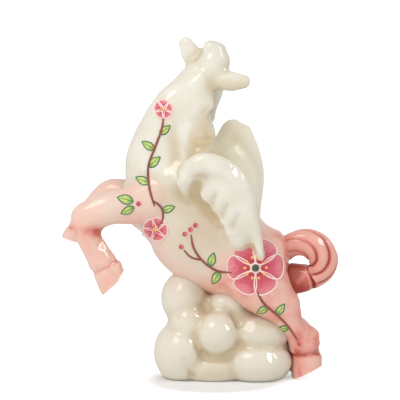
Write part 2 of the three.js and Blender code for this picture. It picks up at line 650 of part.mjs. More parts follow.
// The origin is the middle of the footprint box on the shelf.
function centred(figurine) {
  const box = new THREE.Box3().setFromObject(figurine);
  const middle = box.getCenter(new THREE.Vector3());
  for (const mesh of figurine.children) mesh.geometry.translate(-middle.x, -middle.y, -box.min.z);
  return figurine;
}

export default centred(buildFigurine());
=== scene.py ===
# %% [markdown]
# # A glazed porcelain winged horse
# The figurine is cast in plaster moulds from liquid clay, in about twenty pieces. The pieces are stuck
# together with slip, the joints are sponged smooth, and the whole is sprayed, painted, glazed and fired.
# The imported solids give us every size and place. We grow one smooth fired skin over them, then paint it.

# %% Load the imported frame
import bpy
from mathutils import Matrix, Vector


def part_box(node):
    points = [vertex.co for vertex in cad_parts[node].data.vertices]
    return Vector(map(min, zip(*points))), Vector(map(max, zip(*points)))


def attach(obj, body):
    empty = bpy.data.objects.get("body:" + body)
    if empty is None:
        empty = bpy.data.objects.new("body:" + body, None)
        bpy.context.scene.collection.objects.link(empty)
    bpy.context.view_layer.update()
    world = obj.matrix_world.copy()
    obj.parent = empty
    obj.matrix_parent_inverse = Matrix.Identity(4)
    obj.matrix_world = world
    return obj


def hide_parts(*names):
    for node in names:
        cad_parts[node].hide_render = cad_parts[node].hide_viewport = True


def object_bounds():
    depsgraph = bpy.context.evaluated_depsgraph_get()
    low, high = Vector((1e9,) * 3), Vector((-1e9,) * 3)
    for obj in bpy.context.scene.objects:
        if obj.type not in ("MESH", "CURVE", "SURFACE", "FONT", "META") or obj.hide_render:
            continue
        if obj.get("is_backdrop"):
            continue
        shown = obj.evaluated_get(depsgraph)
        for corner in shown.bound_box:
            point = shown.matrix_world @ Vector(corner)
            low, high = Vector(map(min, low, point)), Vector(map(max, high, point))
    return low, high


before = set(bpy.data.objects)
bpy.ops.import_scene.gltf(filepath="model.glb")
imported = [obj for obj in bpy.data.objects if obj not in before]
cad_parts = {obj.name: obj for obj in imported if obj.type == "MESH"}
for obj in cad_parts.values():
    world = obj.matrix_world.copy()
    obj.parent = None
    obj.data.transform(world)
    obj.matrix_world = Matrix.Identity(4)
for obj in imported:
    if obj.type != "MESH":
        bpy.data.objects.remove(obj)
cad_low, cad_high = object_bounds()
print(len(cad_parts), "nodes, box in mm:", [round((b - a) * 1000, 1) for a, b in zip(cad_low, cad_high)])

# %% [markdown]
# ## A smooth line and a sweep
# A casting is described as a potter would describe a pattern: a few ribs, each with a centre, a depth seen
# from the side and a width. We could model by hand, but the solids use the same ribs, so a sweep through
# them lies exactly on the solids. The centre line is a centripetal Catmull-Rom curve, which never loops.

# %% The smooth line
import math

import bmesh
import bpy
import numpy as np
from mathutils import Vector
from mathutils.bvhtree import BVHTree
from mathutils.kdtree import KDTree

MM = 0.001


def unit(vectors):
    vectors = np.asarray(vectors, float)
    return vectors / np.linalg.norm(vectors, axis=-1, keepdims=True)


def smooth_line(points, part, knot=0.25):
    """Points at part (0 to 1) of a smooth line through points; knot 0 spaces it evenly for girths."""
    points = np.asarray(points, float)
    padded = np.vstack([2 * points[0] - points[1], points, 2 * points[-1] - points[-2]])
    place = np.clip(part, 0, 1) * (len(points) - 1)
    first = np.minimum(place.astype(int), len(points) - 2)
    step = (place - first)[:, None]
    p0, p1, p2, p3 = (padded[first + k] for k in range(4))
    g0, g1, g2 = (np.sum((b - a) ** 2, 1, keepdims=True) ** knot for a, b in ((p0, p1), (p1, p2), (p2, p3)))
    leave = ((p1 - p0) / g0 - (p2 - p0) / (g0 + g1) + (p2 - p1) / g1) * g1
    arrive = ((p2 - p1) / g1 - (p3 - p1) / (g1 + g2) + (p3 - p2) / g2) * g1
    square = 3 * (p2 - p1) - 2 * leave - arrive
    cube = 2 * (p1 - p2) + leave + arrive
    return p1 + step * (leave + step * (square + step * cube))


print("a quarter along a test line:", smooth_line([(0, 0), (4, 2), (8, 0)], np.array([0.25])).round(2))

# %% The sweep
def sweep(ribs, ends, side=(0, 1, 0), grow=0.0, around=40, along=72, cap=8, relief=None):
    """Rings of points through ribs of (x, y, z, depth, width) in mm, with domed ends, as (rings, around, 3).
    A positive grow thickens the form all round."""
    ribs, side = np.array(ribs, float), np.array(side, float)
    ring = np.arange(along + 2 * cap + 1)
    part = np.clip((ring - cap) / along, 0, 1)
    before, after = np.clip(cap - ring, 0, cap) / cap, np.clip(ring - cap - along, 0, cap) / cap
    turn = (before + after) * math.pi / 2
    reach = np.where(before > 0, -ends[0] - grow, ends[1] + grow) * np.sin(turn)
    ahead = unit(smooth_line(ribs[:, :3], part + 1e-4) - smooth_line(ribs[:, :3], part - 1e-4))
    wide = unit(side - ahead * (ahead @ side)[:, None])
    deep = np.cross(wide, ahead)
    centre = smooth_line(ribs[:, :3], part) + ahead * reach[:, None]
    half = (smooth_line(ribs[:, 3:5] / 2, part, knot=0) + grow) * np.maximum(np.cos(turn), 0.02)[:, None]
    angle = np.arange(around) * 2 * math.pi / around
    size = np.ones((len(ring), around)) if relief is None else relief(angle[None], part[:, None])
    over = -np.cos(angle) * size * half[:, :1]
    across = np.sin(angle) * size * half[:, 1:]
    return centre[:, None] + deep[:, None] * over[..., None] + wide[:, None] * across[..., None]


def tube_faces(rings, around, start=0):
    """Quads between the rings of a sweep and one face over each end."""
    grid = np.arange(rings * around).reshape(rings, around) + start
    turned = np.roll(grid, -1, 1)
    quads = np.stack([grid[:-1], turned[:-1], turned[1:], grid[1:]], -1).reshape(-1, 4)
    return quads.tolist() + [grid[0].tolist()[::-1], grid[-1].tolist()]


print("a test sweep has", sweep([(0, 0, 0, 10, 8), (0, 0, 20, 8, 8)], (2, 2)).shape, "points")

# %% [markdown]
# ## The patterns for the horse
# These are the ribs of the trunk, neck, legs, mane and wings in millimetres, as in the solids. On the real
# figure each is one plaster mould. We keep them as plain lists because a list is easy to read and to alter.

# %% Trunk, neck, mane and legs
FORMS = {
    "trunk": dict(ends=(8, 9.5), ribs=[
        (-30, 0, 95, 34, 28), (-20, 0, 91.5, 44.5, 36), (-8.6, 0, 83.4, 49.4, 40), (2, 0, 71.5, 51, 41),
        (14, 0, 63, 47, 40), (26, 0, 58.5, 43, 42), (35, 0, 57, 34.4, 36)]),
    "neck": dict(ends=(4, 5), ribs=[
        (-16, 0, 96, 42, 33), (-17.5, 0, 110, 39, 29), (-16, 0, 123, 30.6, 25), (-12.5, 0, 134.5, 23, 21),
        (-6, 0, 143.5, 18.2, 18), (0, 0.5, 152, 15.4, 16)]),
    "forelock": dict(ends=(4, 4.6), ribs=[
        (2.5, -2, 147, 15, 14), (5.5, -1.4, 153.5, 16.4, 15), (7.2, -0.8, 159.5, 15.6, 14.5),
        (7.2, -0.4, 163.6, 12, 11.5)]),
    "mane_upper": dict(ends=(3, 4), ribs=[
        (1, -6.2, 151, 8, 8), (-1, -7.4, 145.2, 16, 8), (-2.4, -8.6, 138.6, 17, 7.4),
        (-1.6, -9.8, 132, 14, 6.6), (1.6, -10.6, 127.4, 8, 5.6)]),
    "mane_lower": dict(ends=(3, 4), ribs=[
        (-1, -6.5, 137, 10, 9), (-1.5, -8.2, 129, 15, 9.5), (0, -9.8, 121.5, 16, 9.4),
        (2, -11.6, 114, 12, 8.8), (3.2, -13, 107, 7.5, 7.6)]),
    "mane_far": dict(ends=(3, 4), ribs=[
        (-2, 6.6, 146, 9, 8), (-4.2, 8.6, 138, 13, 8), (-5, 9.8, 128, 14, 8), (-4, 11, 118, 12.6, 8),
        (-2, 11.8, 109, 9, 7.6)]),
    "near_foreleg": dict(ends=(5, 3), ribs=[
        (-20, -8.6, 90, 30, 20.4), (-35, -13, 87.4, 19, 17), (-46.5, -16, 86, 16.4, 15),
        (-55.4, -16.2, 80.6, 16.6, 14.5), (-55, -16, 72, 12.5, 12.5), (-51.6, -15.6, 65.2, 12.5, 12.5),
        (-48.6, -15.4, 59.8, 14, 14)]),
    "far_foreleg": dict(ends=(5, 3), ribs=[
        (-20, 8.6, 91, 30, 20.4), (-35, 12.6, 90, 16.4, 16.4), (-44.6, 14.2, 89.8, 15.4, 14.5),
        (-50.6, 14.6, 85.4, 13.6, 13.4), (-55.6, 14.6, 79, 12.5, 12.5), (-59.4, 14.6, 73.8, 14, 14)]),
}
HIND_LEG = [
    (24.5, 9.6, 56.5, 35, 26), (32.4, 11.4, 45.4, 28.6, 23), (40, 12, 36.4, 19.4, 18),
    (45.6, 11.4, 29, 13.8, 14.6), (50.2, 10.2, 22.4, 14.6, 14.4), (52.4, 9.4, 15.6, 16, 15)]
NEAR, FAR = -1, 1
FAR_HIND_SHIFT = -0.4
for name, hand, shift in (("near_hind_leg", NEAR, 0), ("far_hind_leg", FAR, FAR_HIND_SHIFT)):
    FORMS[name] = dict(ends=(12, 3), ribs=[(x + shift, hand * y, z, d, w) for x, y, z, d, w in HIND_LEG])
print("forms so far:", ", ".join(FORMS))

# %% Head and ears, on axes of their own
SKULL = np.array((5.6, 2.4, 153.0))
MUZZLEWARD, EARWARD = unit((-0.1, 0.66, -0.75)), unit((-0.5, 0.65, 0.572))
FOREHEAD = unit(np.cross(MUZZLEWARD, EARWARD))


def on_head(along, out, side=0.0):
    """A place on the head: towards the muzzle, out of the forehead and towards the far ear, in mm."""
    return SKULL + MUZZLEWARD * along + FOREHEAD * out + EARWARD * side


HEAD = [(0, -0.5, 17, 16.5), (9, -1.5, 20, 17), (18, -0.5, 15.5, 13.5), (26, -0.3, 12, 11),
        (33, -0.6, 11.6, 11.5)]
FORMS["head"] = dict(ends=(6, 5), side=EARWARD, ribs=[(*on_head(a, o), d, w) for a, o, d, w in HEAD])
EAR_LENGTH, EAR_WIDTH = 22, 9.8
EAR = [(0.08, 0.72, 0.66), (0.35, 0.9, 0.7), (0.62, 1, 0.62), (0.84, 0.74, 0.46)]
EARS = {
    "near_ear": ((3.2, -5, 148.9), (0.98, -0.2, -0.01), (0.1, 0.9, -0.3)),
    "far_ear": ((1.6, 4, 150.2), (-0.47, 0.06, 0.88), (0.2, 0.98, 0)),
}
for name, (root, towards, across) in EARS.items():
    ribs = [(*(np.array(root) + np.array(towards) * part * EAR_LENGTH), wide * EAR_WIDTH, deep * EAR_WIDTH)
            for part, wide, deep in EAR]
    FORMS[name] = dict(ends=(0.08 * EAR_LENGTH, 0.16 * EAR_LENGTH), side=across, ribs=ribs)
print("muzzle tip at", on_head(38, -0.6).round(1))

# %% Wings: a rolled arm, a blade and rounded feather lobes, counted out from the flank
FLANK = 20.5
ARMS = {
    NEAR: [(-6.8, -6.5, 93.5, 7.6, 10), (-7.2, -4, 99, 9, 11), (-5, -0.6, 104.8, 10.8, 11),
           (1, 1.8, 109.2, 11.4, 9.6), (9.4, 2.8, 107.2, 12.2, 8.8), (17, 3.4, 102, 11.2, 8.4),
           (22, 3.6, 94, 9.2, 8), (25, 3.4, 83.4, 7.8, 7), (27.2, 2.9, 76.2, 6, 6), (29, 2.2, 69, 4.6, 4.8),
           (29.7, 1.8, 65.4, 3.6, 4)],
    FAR: [(-6, -3.4, 90, 11, 11), (0, -0.8, 97, 13, 12), (6.2, 1.6, 104.2, 12.4, 11),
          (11.4, 3.6, 112.4, 12, 10), (16.2, 5, 120.6, 11.8, 9.8)],
}
BLADES = {
    NEAR: [(5.6, 2, 104.5, 13, 6), (12, 3.2, 98.4, 22, 7), (17.4, 3.6, 91, 21, 7), (21, 3.4, 83.6, 16, 6.4),
           (23.8, 2.8, 77.4, 9, 5.6)],
    FAR: [(18.4, 4.4, 120.4, 15.4, 9.4), (20.6, 4.4, 110.4, 19, 9), (22, 4.4, 100, 21, 8.4),
          (22.6, 4, 88, 19, 7.4), (24.4, 3.2, 77, 13, 6), (26, 2.2, 68, 7, 4.4)],
}
LOBES = {
    NEAR: [((8, 1.8, 103), (4.8, 2, 94.2), 9.6), ((13, 2.2, 98), (10.2, 2.2, 89), 11),
           ((18, 2.4, 92), (14.6, 2, 82.2), 10.5), ((21.6, 2.2, 86), (17.2, 1, 76), 10),
           ((24, 1.6, 80), (19, 0, 71), 9.5)],
    FAR: [((14.6, 3, 111), (10, 2.6, 102), 12), ((17, 3, 104), (11.8, 2.6, 94), 12),
          ((19, 2.8, 95), (14.4, 2.2, 84), 11.5), ((21, 2.4, 86), (18, 1.6, 75), 10.5)],
}
WEBS = {
    NEAR: [(-6, -7, 96, 12, 9), (1, -4, 98, 13, 9), (8, -2.6, 93, 12, 11), (13.6, -2, 86, 12, 11),
           (19, -1.8, 80.4, 10, 10), (24, -1.2, 75, 7, 8)],
    FAR: [(13, 1.5, 110, 16, 11), (16.5, 2, 103, 20, 12), (19.6, 2, 94, 20, 11.4), (22, 1.8, 84, 16, 9.6)],
}
LOBE_THICKNESS, LOBE_ROOT, LOBE_TIP = 6.2, 2, 0.45  # the tip's reach is a part of the lobe's breadth
for hand, word in ((NEAR, "near"), (FAR, "far")):
    for name, table in (("arm", ARMS), ("blade", BLADES), ("web", WEBS)):
        ribs = [(x, hand * (FLANK + out), z, d, w) for x, out, z, d, w in table[hand]]
        FORMS[f"{word}_wing_{name}"] = dict(ends=(4, 4), ribs=ribs)
    for count, (*line, breadth) in enumerate(LOBES[hand]):
        ribs = [(x, hand * (FLANK + out), z, breadth, LOBE_THICKNESS) for x, out, z in line]
        FORMS[f"{word}_wing_lobe_{count}"] = dict(ends=(LOBE_ROOT, LOBE_TIP * breadth), ribs=ribs, along=16)
FORMS["far_wing_arm"]["ends"] = (4, 6.5)  # the raised wing has a rounder top
print(len(FORMS), "swept forms")

# %% [markdown]
# ## Hooves
# A hoof is a short blank that flares from the coronet. It is cast a little too long, and its sole is trimmed
# flat with a wire once it is on the leg, so here we only make the blanks.

# %% Hoof blanks
HOOVES = {  # middle of the coronet, middle of the sole, and the way the sole faces
    "near_foreleg": np.array(((-47.6, -15.4, 57.6), (-43.2, -15.2, 49.4), (0.77, 0, -0.64))),
    "far_foreleg": np.array(((-60.6, 14.6, 72.2), (-62.6, 14.6, 66.4), (-0.26, 0, -0.97))),
    "near_hind_leg": np.array(((52.8, -9, 13.2), (53.4, -9, 3.4), (0.42, 0, -0.9))),
    "far_hind_leg": np.array(((52.4, 9, 13.2), (53, 9, 3.4), (0.42, 0, -0.9))),
}
CORONET_WIDTH, HOOF_WIDTH = 13.2, 15.5
BLANK_LENGTH = 1.6  # of the way from coronet to sole


def cast(grow=0.0):
    """Every casting of the horse by name, thickened by grow in mm."""
    made = {name: sweep(**form, grow=grow) for name, form in FORMS.items()}
    for leg, (coronet, sole, _) in HOOVES.items():
        end = coronet + BLANK_LENGTH * (sole - coronet)
        girths = ((coronet, CORONET_WIDTH), (sole, HOOF_WIDTH), (end, HOOF_WIDTH))
        ribs = [(*place, girth, girth) for place, girth in girths]
        made[leg + "_hoof"] = sweep(ribs, (2, 4), grow=grow, along=30)
    return made


castings = cast()
print(len(castings), "castings,", sum(c[..., 0].size for c in castings.values()), "points")

# %% [markdown]
# ## Where the patterns sit in the frame
# The solids were moved so that the middle of the footprint is the origin. We find that move by comparing our
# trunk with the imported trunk, instead of typing it, so the two can't drift apart.

# %% Find the move from pattern to frame
low, high = (np.array(corner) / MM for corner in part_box("body_shell"))
trunk_points = castings["trunk"].reshape(-1, 3)
MOVE = (low + high) / 2 - (trunk_points.min(0) + trunk_points.max(0)) / 2
MOVE[2] = 0
print("pattern to frame, mm:", MOVE.round(2))


def to_frame(points):
    return (np.asarray(points, float) + MOVE) * MM


def to_pattern(points):
    return np.asarray(points, float) / MM - MOVE


def inside(points):
    """Keep pattern points in the box of the solids, a hair clear of its walls."""
    hair = np.array((0.02, 0.02, 0))
    return np.clip(points, to_pattern(cad_low) + hair, to_pattern(cad_high) - hair)


# %% [markdown]
# ## One fired skin
# Slip closes the joints between castings and the sponge rounds them, so the finished horse has no seams. A
# boolean union would leave knife-sharp joints. Instead we thicken every casting, fuse them all by a voxel
# remesh, and shrink the skin back by the same amount: outer shapes return to size, and every joint keeps a
# round fillet. A few rounds of relaxing do the sponge's work, each with a step back so the form keeps its size.

# %% Helpers: meshes from points and back
def add_piece(name, points, faces):
    """A new mesh object from pattern points in mm, with its faces turned outwards."""
    mesh = bpy.data.meshes.new(name)
    mesh.from_pydata(to_frame(points).tolist(), [], faces)
    shape = bmesh.new()
    shape.from_mesh(mesh)
    bmesh.ops.recalc_face_normals(shape, faces=shape.faces)
    shape.to_mesh(mesh)
    shape.free()
    piece = bpy.data.objects.new(name, mesh)
    bpy.context.scene.collection.objects.link(piece)
    return piece


def read(items, field, width, kind=float):
    """One row of numbers for each vertex, edge or normal."""
    flat = np.zeros(len(items) * width, kind)
    items.foreach_get(field, flat)
    return flat.reshape(-1, width)


def points_of(piece):
    return to_pattern(read(piece.data.vertices, "co", 3))


def normals_of(piece):
    return read(piece.data.vertex_normals, "vector", 3)


def edges_of(piece):
    return read(piece.data.edges, "vertices", 2, np.int32)


def move_points(piece, points):
    piece.data.vertices.foreach_set("co", to_frame(points).astype(np.float32).ravel())
    piece.data.update()


print("one pattern millimetre is", MM, "m in the frame")

# %% Helpers: neighbours and relaxing
def mean_of_neighbours(values, edges):
    """The mean of each vertex's neighbours, for one number or one point per vertex."""
    a, b = edges.T
    size = len(values)
    number = np.maximum(np.bincount(a, minlength=size) + np.bincount(b, minlength=size), 1)
    columns = values.reshape(size, -1).T
    sums = [np.bincount(a, c[b], size) + np.bincount(b, c[a], size) for c in columns]
    return (np.stack(sums, 1) / number[:, None]).reshape(values.shape)


def relax(points, edges, rounds, inwards=0.5, outwards=-0.45):
    """Smooth a skin by steps towards its neighbours' mean, each with a step back so that it keeps its size."""
    for _ in range(rounds):
        for share in (inwards, outwards):
            points = points + share * (mean_of_neighbours(points, edges) - points)
    return points


test_values, test_edges = np.array((0.0, 1, 4)), np.array(((0, 1), (1, 2)))
print("neighbours' means on a test line:", mean_of_neighbours(test_values, test_edges))

# %% Fuse the castings
def fuse(name, shells, voxel):
    """One closed skin round overlapping shells, with voxels of that size in mm."""
    points, faces = [], []
    for shell in shells:
        faces += tube_faces(*shell.shape[:2], start=sum(map(len, points)))
        points.append(shell.reshape(-1, 3))
    piece = add_piece(name, np.vstack(points), faces)
    remesh = piece.modifiers.new("slip", "REMESH")
    remesh.mode, remesh.voxel_size = "VOXEL", voxel * MM
    whole = piece.evaluated_get(bpy.context.evaluated_depsgraph_get())
    piece.data = bpy.data.meshes.new_from_object(whole)
    piece.modifiers.clear()
    piece.data.shade_smooth()
    return piece


def shrink(piece, depth, steps=4, rounds=4):
    """Bring a thickened skin back inwards by depth mm, relaxing it on the way."""
    edges = edges_of(piece)
    points = relax(points_of(piece), edges, rounds)
    for _ in range(steps):
        move_points(piece, points)
        points = relax(points - normals_of(piece) * depth / steps, edges, 1)
    points = relax(points, edges, rounds)
    move_points(piece, points)
    return points, edges


SKIN_VOXEL, FILLET = 0.78, 1.6
horse = fuse("horse_glazed_skin", cast(FILLET).values(), SKIN_VOXEL)
skin, horse_edges = shrink(horse, FILLET)
print("horse skin:", len(skin), "points,", len(horse.data.polygons), "faces")

# %% Wire off the soles
SHELF_GAP, BLANK_REACH, RIM_REACH, RIM_DEPTH, RIM_ROUNDS = 0.6, 18, 14, 2.2, 8
for coronet, sole, trim in HOOVES.values():
    down, trim = unit(sole - coronet), unit(trim)
    beyond = np.maximum((skin - sole) @ trim, 0) * (np.linalg.norm(skin - sole, axis=1) < BLANK_REACH)
    skin = skin - down * (beyond / (down @ trim))[:, None]
    rim = 0.5 * ((skin - sole) @ trim > -RIM_DEPTH) * (np.linalg.norm(skin - sole, axis=1) < RIM_REACH)
    for _ in range(RIM_ROUNDS):
        skin = skin + rim[:, None] * (mean_of_neighbours(skin, horse_edges) - skin)
skin[:, 2] = np.maximum(skin[:, 2], SHELF_GAP)
move_points(horse, skin)
print("lowest point of the hooves:", skin[:, 2].min().round(2), "mm")

# %% [markdown]
# ## Which casting each point came from
# Painting needs to know what a point belongs to, such as the belly or a hoof. We look up the nearest point of
# the castings and take its name, how far along the casting it lies and how far round towards the underside.

# %% Look up the castings
sources = np.vstack([shell.reshape(-1, 3) for shell in castings.values()])
tree = KDTree(len(sources))
for index, point in enumerate(sources):
    tree.insert(point, index)
tree.balance()
nearest = np.array([tree.find(point)[1] for point in skin])
shapes = [shell.shape[:2] for shell in castings.values()]
form_of = np.concatenate([np.full(r * a, k) for k, (r, a) in enumerate(shapes)])[nearest]
along = np.concatenate([np.repeat(np.linspace(0, 1, r), a) for r, a in shapes])[nearest]
under = np.concatenate([np.tile(-np.cos(np.arange(a) * 2 * math.pi / a), r) for r, a in shapes])[nearest]
names = list(castings)


def belongs(*starts):
    """True for the skin's points that came from castings whose names start so."""
    chosen = [k for k, name in enumerate(names) if name.startswith(starts)]
    return np.isin(form_of, chosen)


print(belongs("trunk").sum(), "points on the trunk,", belongs("near_wing", "far_wing").sum(), "on the wings")

# %% [markdown]
# ## Tooling the soft clay
# Before firing, the modeller presses nostrils and ear hollows with a ball tool, adds a little clay at heels and
# hocks, draws folds with a wooden point and pats small flats with a paddle. All are vertex moves here: a soft
# dent or swelling with a bell-shaped edge, a groove along a line, and a flat that is pressed to a plane. They
# come after relaxing, so the edges stay as crisp as a tool leaves them. A patted flat in glaze mirrors a whole
# lamp as one bright window if it faces half way between lamp and viewer; the two facings below do so for the
# lamps at the end of the lesson, seen from the front.

# %% Helpers: dents, grooves and flats
def bell(distance, width):
    return np.exp(-((distance / width) ** 2))


def dent(points, centre, push, axes, stretch):
    """Push the clay at centre by the vector push in mm; each axis has its own half width in stretch."""
    offset = points - np.array(centre)
    share = np.ones(len(points))
    for axis, width in zip(axes, stretch):
        share *= bell(offset @ np.array(axis), width)
    return points + share[:, None] * np.array(push)


def nearness(points, line):
    """Distance of every point from a smooth line through the given places, in mm."""
    dense = smooth_line(line, np.linspace(0, 1, 60))
    best = np.full(len(points), 1e9)
    for spot in dense:
        best = np.minimum(best, ((points - spot) ** 2).sum(1))
    return np.sqrt(best)


def groove(points, normals, line, width, depth):
    """Press a groove of that half width and depth in mm along a line on the skin."""
    return points - normals * (depth * bell(nearness(points, line), width))[:, None]


def soften(points, edges, line, width, rounds):
    """Sponge a joint away along a line, fading out at that half width in mm."""
    share = 0.5 * bell(nearness(points, line), width)[:, None]
    for _ in range(rounds):
        points = points + share * (mean_of_neighbours(points, edges) - points)
    return points


UP_LEFT, UP_RIGHT = (-0.25, -0.81, 0.53), (0.435, -0.78, 0.45)  # half way to the left or right lamp


def pat(points, centre, facing, width, tall=1.0):
    """Pat a flat that faces so, fading out at that half width in mm and as many times taller."""
    offset = points - np.array(centre)
    share = np.minimum(1.6 * bell(np.linalg.norm(offset / (1, 1, tall), axis=1), width), 1)
    return points - (share * np.clip(offset @ unit(facing), -2, 0.8))[:, None] * unit(facing)


print("a dent half way to its half width keeps", bell(0.5, 1).round(2), "of its depth")

# %% Sponge the mane joint
MANE_JOINT = [(-5, -8.5, 150), (-10, -10.5, 141), (-12, -11.5, 133), (-11, -12.5, 124), (-8, -13.5, 115),
              (-4, -15, 107)]
skin = soften(skin, horse_edges, MANE_JOINT, 4.5, 70)
move_points(horse, skin)
facing = normals_of(horse)
print("mane joint sponged over", round(np.ptp(np.array(MANE_JOINT)[:, 2])), "mm")

# %% Face, ears and hooves
HEAD_AXES = (MUZZLEWARD, FOREHEAD, EARWARD)
NOSTRIL, EYE = (35.2, 1.6, 4.2), (10.6, 6.6, 6)
LIPS = [(38, -2.4, 1.0), (36, -2.8, 4.4), (31.5, -3.0, 5.6), (28.5, -2.2, 5.6)]
CHEEK = [(4, -6.5, 7.6), (11, -8.2, 7), (17.5, -5.4, 6.6), (18.5, -1.6, 6.8)]


def on_side(side, along, out, across):
    """A place on the NEAR or FAR side of the head, or between them for side 0."""
    return on_head(along, out, side * across)


for side in (NEAR, FAR):
    inward = -EARWARD * side
    skin = dent(skin, on_side(side, *NOSTRIL), inward * 1.5 - FOREHEAD * 0.5, HEAD_AXES, (1.5, 1.1, 2.2))
    skin = dent(skin, on_side(side, *EYE), inward * 0.9, HEAD_AXES, (3.6, 2.4, 3))
    skin = groove(skin, facing, [on_side(side, *place) for place in LIPS], 0.8, 0.9)
    skin = groove(skin, facing, [on_side(side, *place) for place in CHEEK], 1.6, 0.5)
for root, towards, across in EARS.values():
    towards, across = unit(towards), unit(across)
    middle = np.array(root) + towards * 0.6 * EAR_LENGTH + across * 2.4
    skin = dent(skin, middle, -across * 2.0, (towards, np.cross(towards, across), across), (6.5, 2.2, 2.0))


def coronet_band(leg, width):
    """1 on the skin of a leg where its hoof begins, fading out at that half width in mm."""
    coronet, sole, _ = HOOVES[leg]
    below = (skin - coronet) @ unit(sole - coronet)
    near_foot = np.linalg.norm(skin - coronet, axis=1) < 12
    return bell(below - 0.4, width) * belongs(leg) * near_foot


for leg in HOOVES:
    skin = skin - facing * (0.55 * coronet_band(leg, 0.9))[:, None]
print("tooled", 2 * 4 + len(EARS) + len(HOOVES), "places on face, ears and hooves")

# %% Swellings and flats
MIRROR = {NEAR: np.array((1, 1, 1)), FAR: np.array((1, -1, 1))}  # takes a place on the near side to either side
SWELLINGS = {  # place, push and half width in mm
    "near fore heel": ((-41.6, -15.4, 58.2), (1.3, 0, 0.9), 3.2),
    "near fetlock": ((57.4, -9.6, 22.6), (1.5, 0, 0.4), 3.2),
    "far fetlock": ((57, 9.6, 22.6), (-1.0, 0, 0.2), 4.2),
    "near hock": ((47.5, -12, 39.5), (1.2, 0, 0.8), 4),
    "far hock": ((47.1, 12, 39.5), (1.2, 0, 0.8), 4),
    "near knee": ((-62, -16.2, 84), (-0.6, 0, 0.5), 5),
    "near gaskin": ((52.8, -11, 29.4), (-2.0, 0, -0.6), 3.6),
    "far gaskin": ((52.4, 11, 29.4), (-3.2, 0, -0.8), 5),
    "near shoulder": ((-7.2, -21, 100), (0, -1.2, 0), 3.6),
    "shoulder blade": ((-14, -17, 106.5), (-0.3, -1.9, 0.5), 6.5),
    "breast": ((-32.5, 0, 75.5), (-1.5, 0, -0.6), 4.2),
    "brisket": ((-27.5, 0, 67), (1.0, 0, 0.7), 6),
    "mane lock": ((4.8, -11.5, 136.5), (1.5, 0, -0.4), 3.2),
    "poll": ((4.5, -3.2, 167), (-0.7, 0, 1.0), 3.2),
    "near fore sole": ((-41.5, -15.2, 49.8), (1.3, 0, -1.1), 5),
    "near hind heel": ((60.2, -9, 10.6), (1.1, 0, 0.3), 3.4),
    "far hind heel": ((59.8, 9, 10.6), (1.1, 0, 0.3), 3.4),
}
for place, push, width in SWELLINGS.values():
    skin = dent(skin, place, push, np.eye(3), (width, 2 * width, width))
FAR_WING_TOP = [(19, 19, 125.6), (23.5, 18.5, 123.6), (27, 18, 119.6)]
NEAR_WING_LOBES = [(9, -25, 95), (13, -24.6, 87), (17, -24, 80), (20.5, -23, 73.5)]
skin = soften(skin, horse_edges, FAR_WING_TOP, 5, 30)
skin = soften(skin, horse_edges, NEAR_WING_LOBES, 5.5, 16)
FLATS = {  # place, facing, half width in mm and how many times taller
    "shoulder": ((-14, -17.5, 105.2), UP_LEFT, 5, 1.6),
    "foreleg": ((-48.6, -19.6, 68), UP_RIGHT, 3, 1),
    "fore hoof": ((-43.5, -21.3, 57.5), UP_RIGHT, 2.6, 1),
    "wing arm": ((17.6, -26.6, 105.6), UP_RIGHT, 2.4, 1.5),
}
for place, towards, width, tall in FLATS.values():
    for across in MIRROR.values():
        skin = pat(skin, np.array(place) * across, np.array(towards) * across, width, tall)
print(len(SWELLINGS), "swellings and", 2 * len(FLATS), "flats")

# %% Folds and feathers
BELLY_FOLD = [(8, -17, 46.6), (12, -20, 49), (15.4, -21.6, 53.5)]
FOLDS = {
    "near arm": [(-10, -20.5, 103.6), (-6, -23, 103), (-2, -24.5, 103.2), (3, -25.4, 102.4)],
    "near shoulder": [(-12, -18, 103), (-11.4, -18.6, 97), (-9, -19, 92), (-5, -19.5, 89.6)],
    "mane tip": [(5.5, -12, 136.4), (0.5, -14, 132.3), (-1.5, -14.4, 129.3), (-1, -14.6, 125.2)],
    "mane rim": [(-13, -12.6, 130), (-11.6, -13.6, 124), (-10.6, -14.2, 118), (-10, -14.8, 112)],
    "mane strand": [(-4.4, -13.8, 130), (-5, -14.8, 123), (-5.2, -15.2, 115)],
    "first ripple": [(-6.5, -15, 120.6), (0, -15.4, 120.2), (6, -14.6, 121)],
    "second ripple": [(-6, -15.6, 117.6), (0, -16, 117.2), (6, -15.4, 118)],
    "near belly": BELLY_FOLD,
    "far belly": BELLY_FOLD * MIRROR[FAR],
}
for line in FOLDS.values():
    skin = groove(skin, facing, line, 1.3, 0.8)
RAISED_STRAND = [(-8.4, -13.2, 130), (-8.2, -14.2, 122), (-7.8, -15, 114)]
skin = groove(skin, facing, RAISED_STRAND, 2.2, -0.7)
FEATHERS = [[(4.6, -24, 87.4), (6.2, -25.6, 90.5), (7.6, -26.2, 94)],
            [(11, -24, 82.8), (12.2, -25.8, 86), (13.4, -26.4, 89)],
            [(16.6, -24, 78.4), (17.8, -25.6, 81.4), (19, -26.2, 84.4)]]
for line in FEATHERS:
    skin = groove(skin, facing, line, 1.5, 1.3)
skin = inside(skin)
move_points(horse, skin)
facing = normals_of(horse)
print(len(FOLDS), "folds and", len(FEATHERS), "feather lines")

# %% [markdown]
# ## Sprayed colour
# The pink is sprayed on the bare clay: strongest on the legs, the haunch and along the belly, and fading into
# ivory towards the back. One number per point says how much, blurred as a spray gun blurs, and a few lines
# are brushed in after. The same number also holds painted shade under the wings and painted light on the far
# wing. A second number finds the hollows, where molten glaze pools and looks deeper, and adds painted shade
# along listed lines and over the head, with painted light on one raised strand. Both ride on the mesh as
# attributes.

# %% Helpers: blurring and painting
def rise(value, start, end):
    """0 before start, 1 after end and an S-curve between."""
    part = np.clip((value - start) / (end - start), 0, 1)
    return part * part * (3 - 2 * part)


def blurred(values, edges, rounds):
    for _ in range(rounds):
        values = mean_of_neighbours(values, edges)
    return values


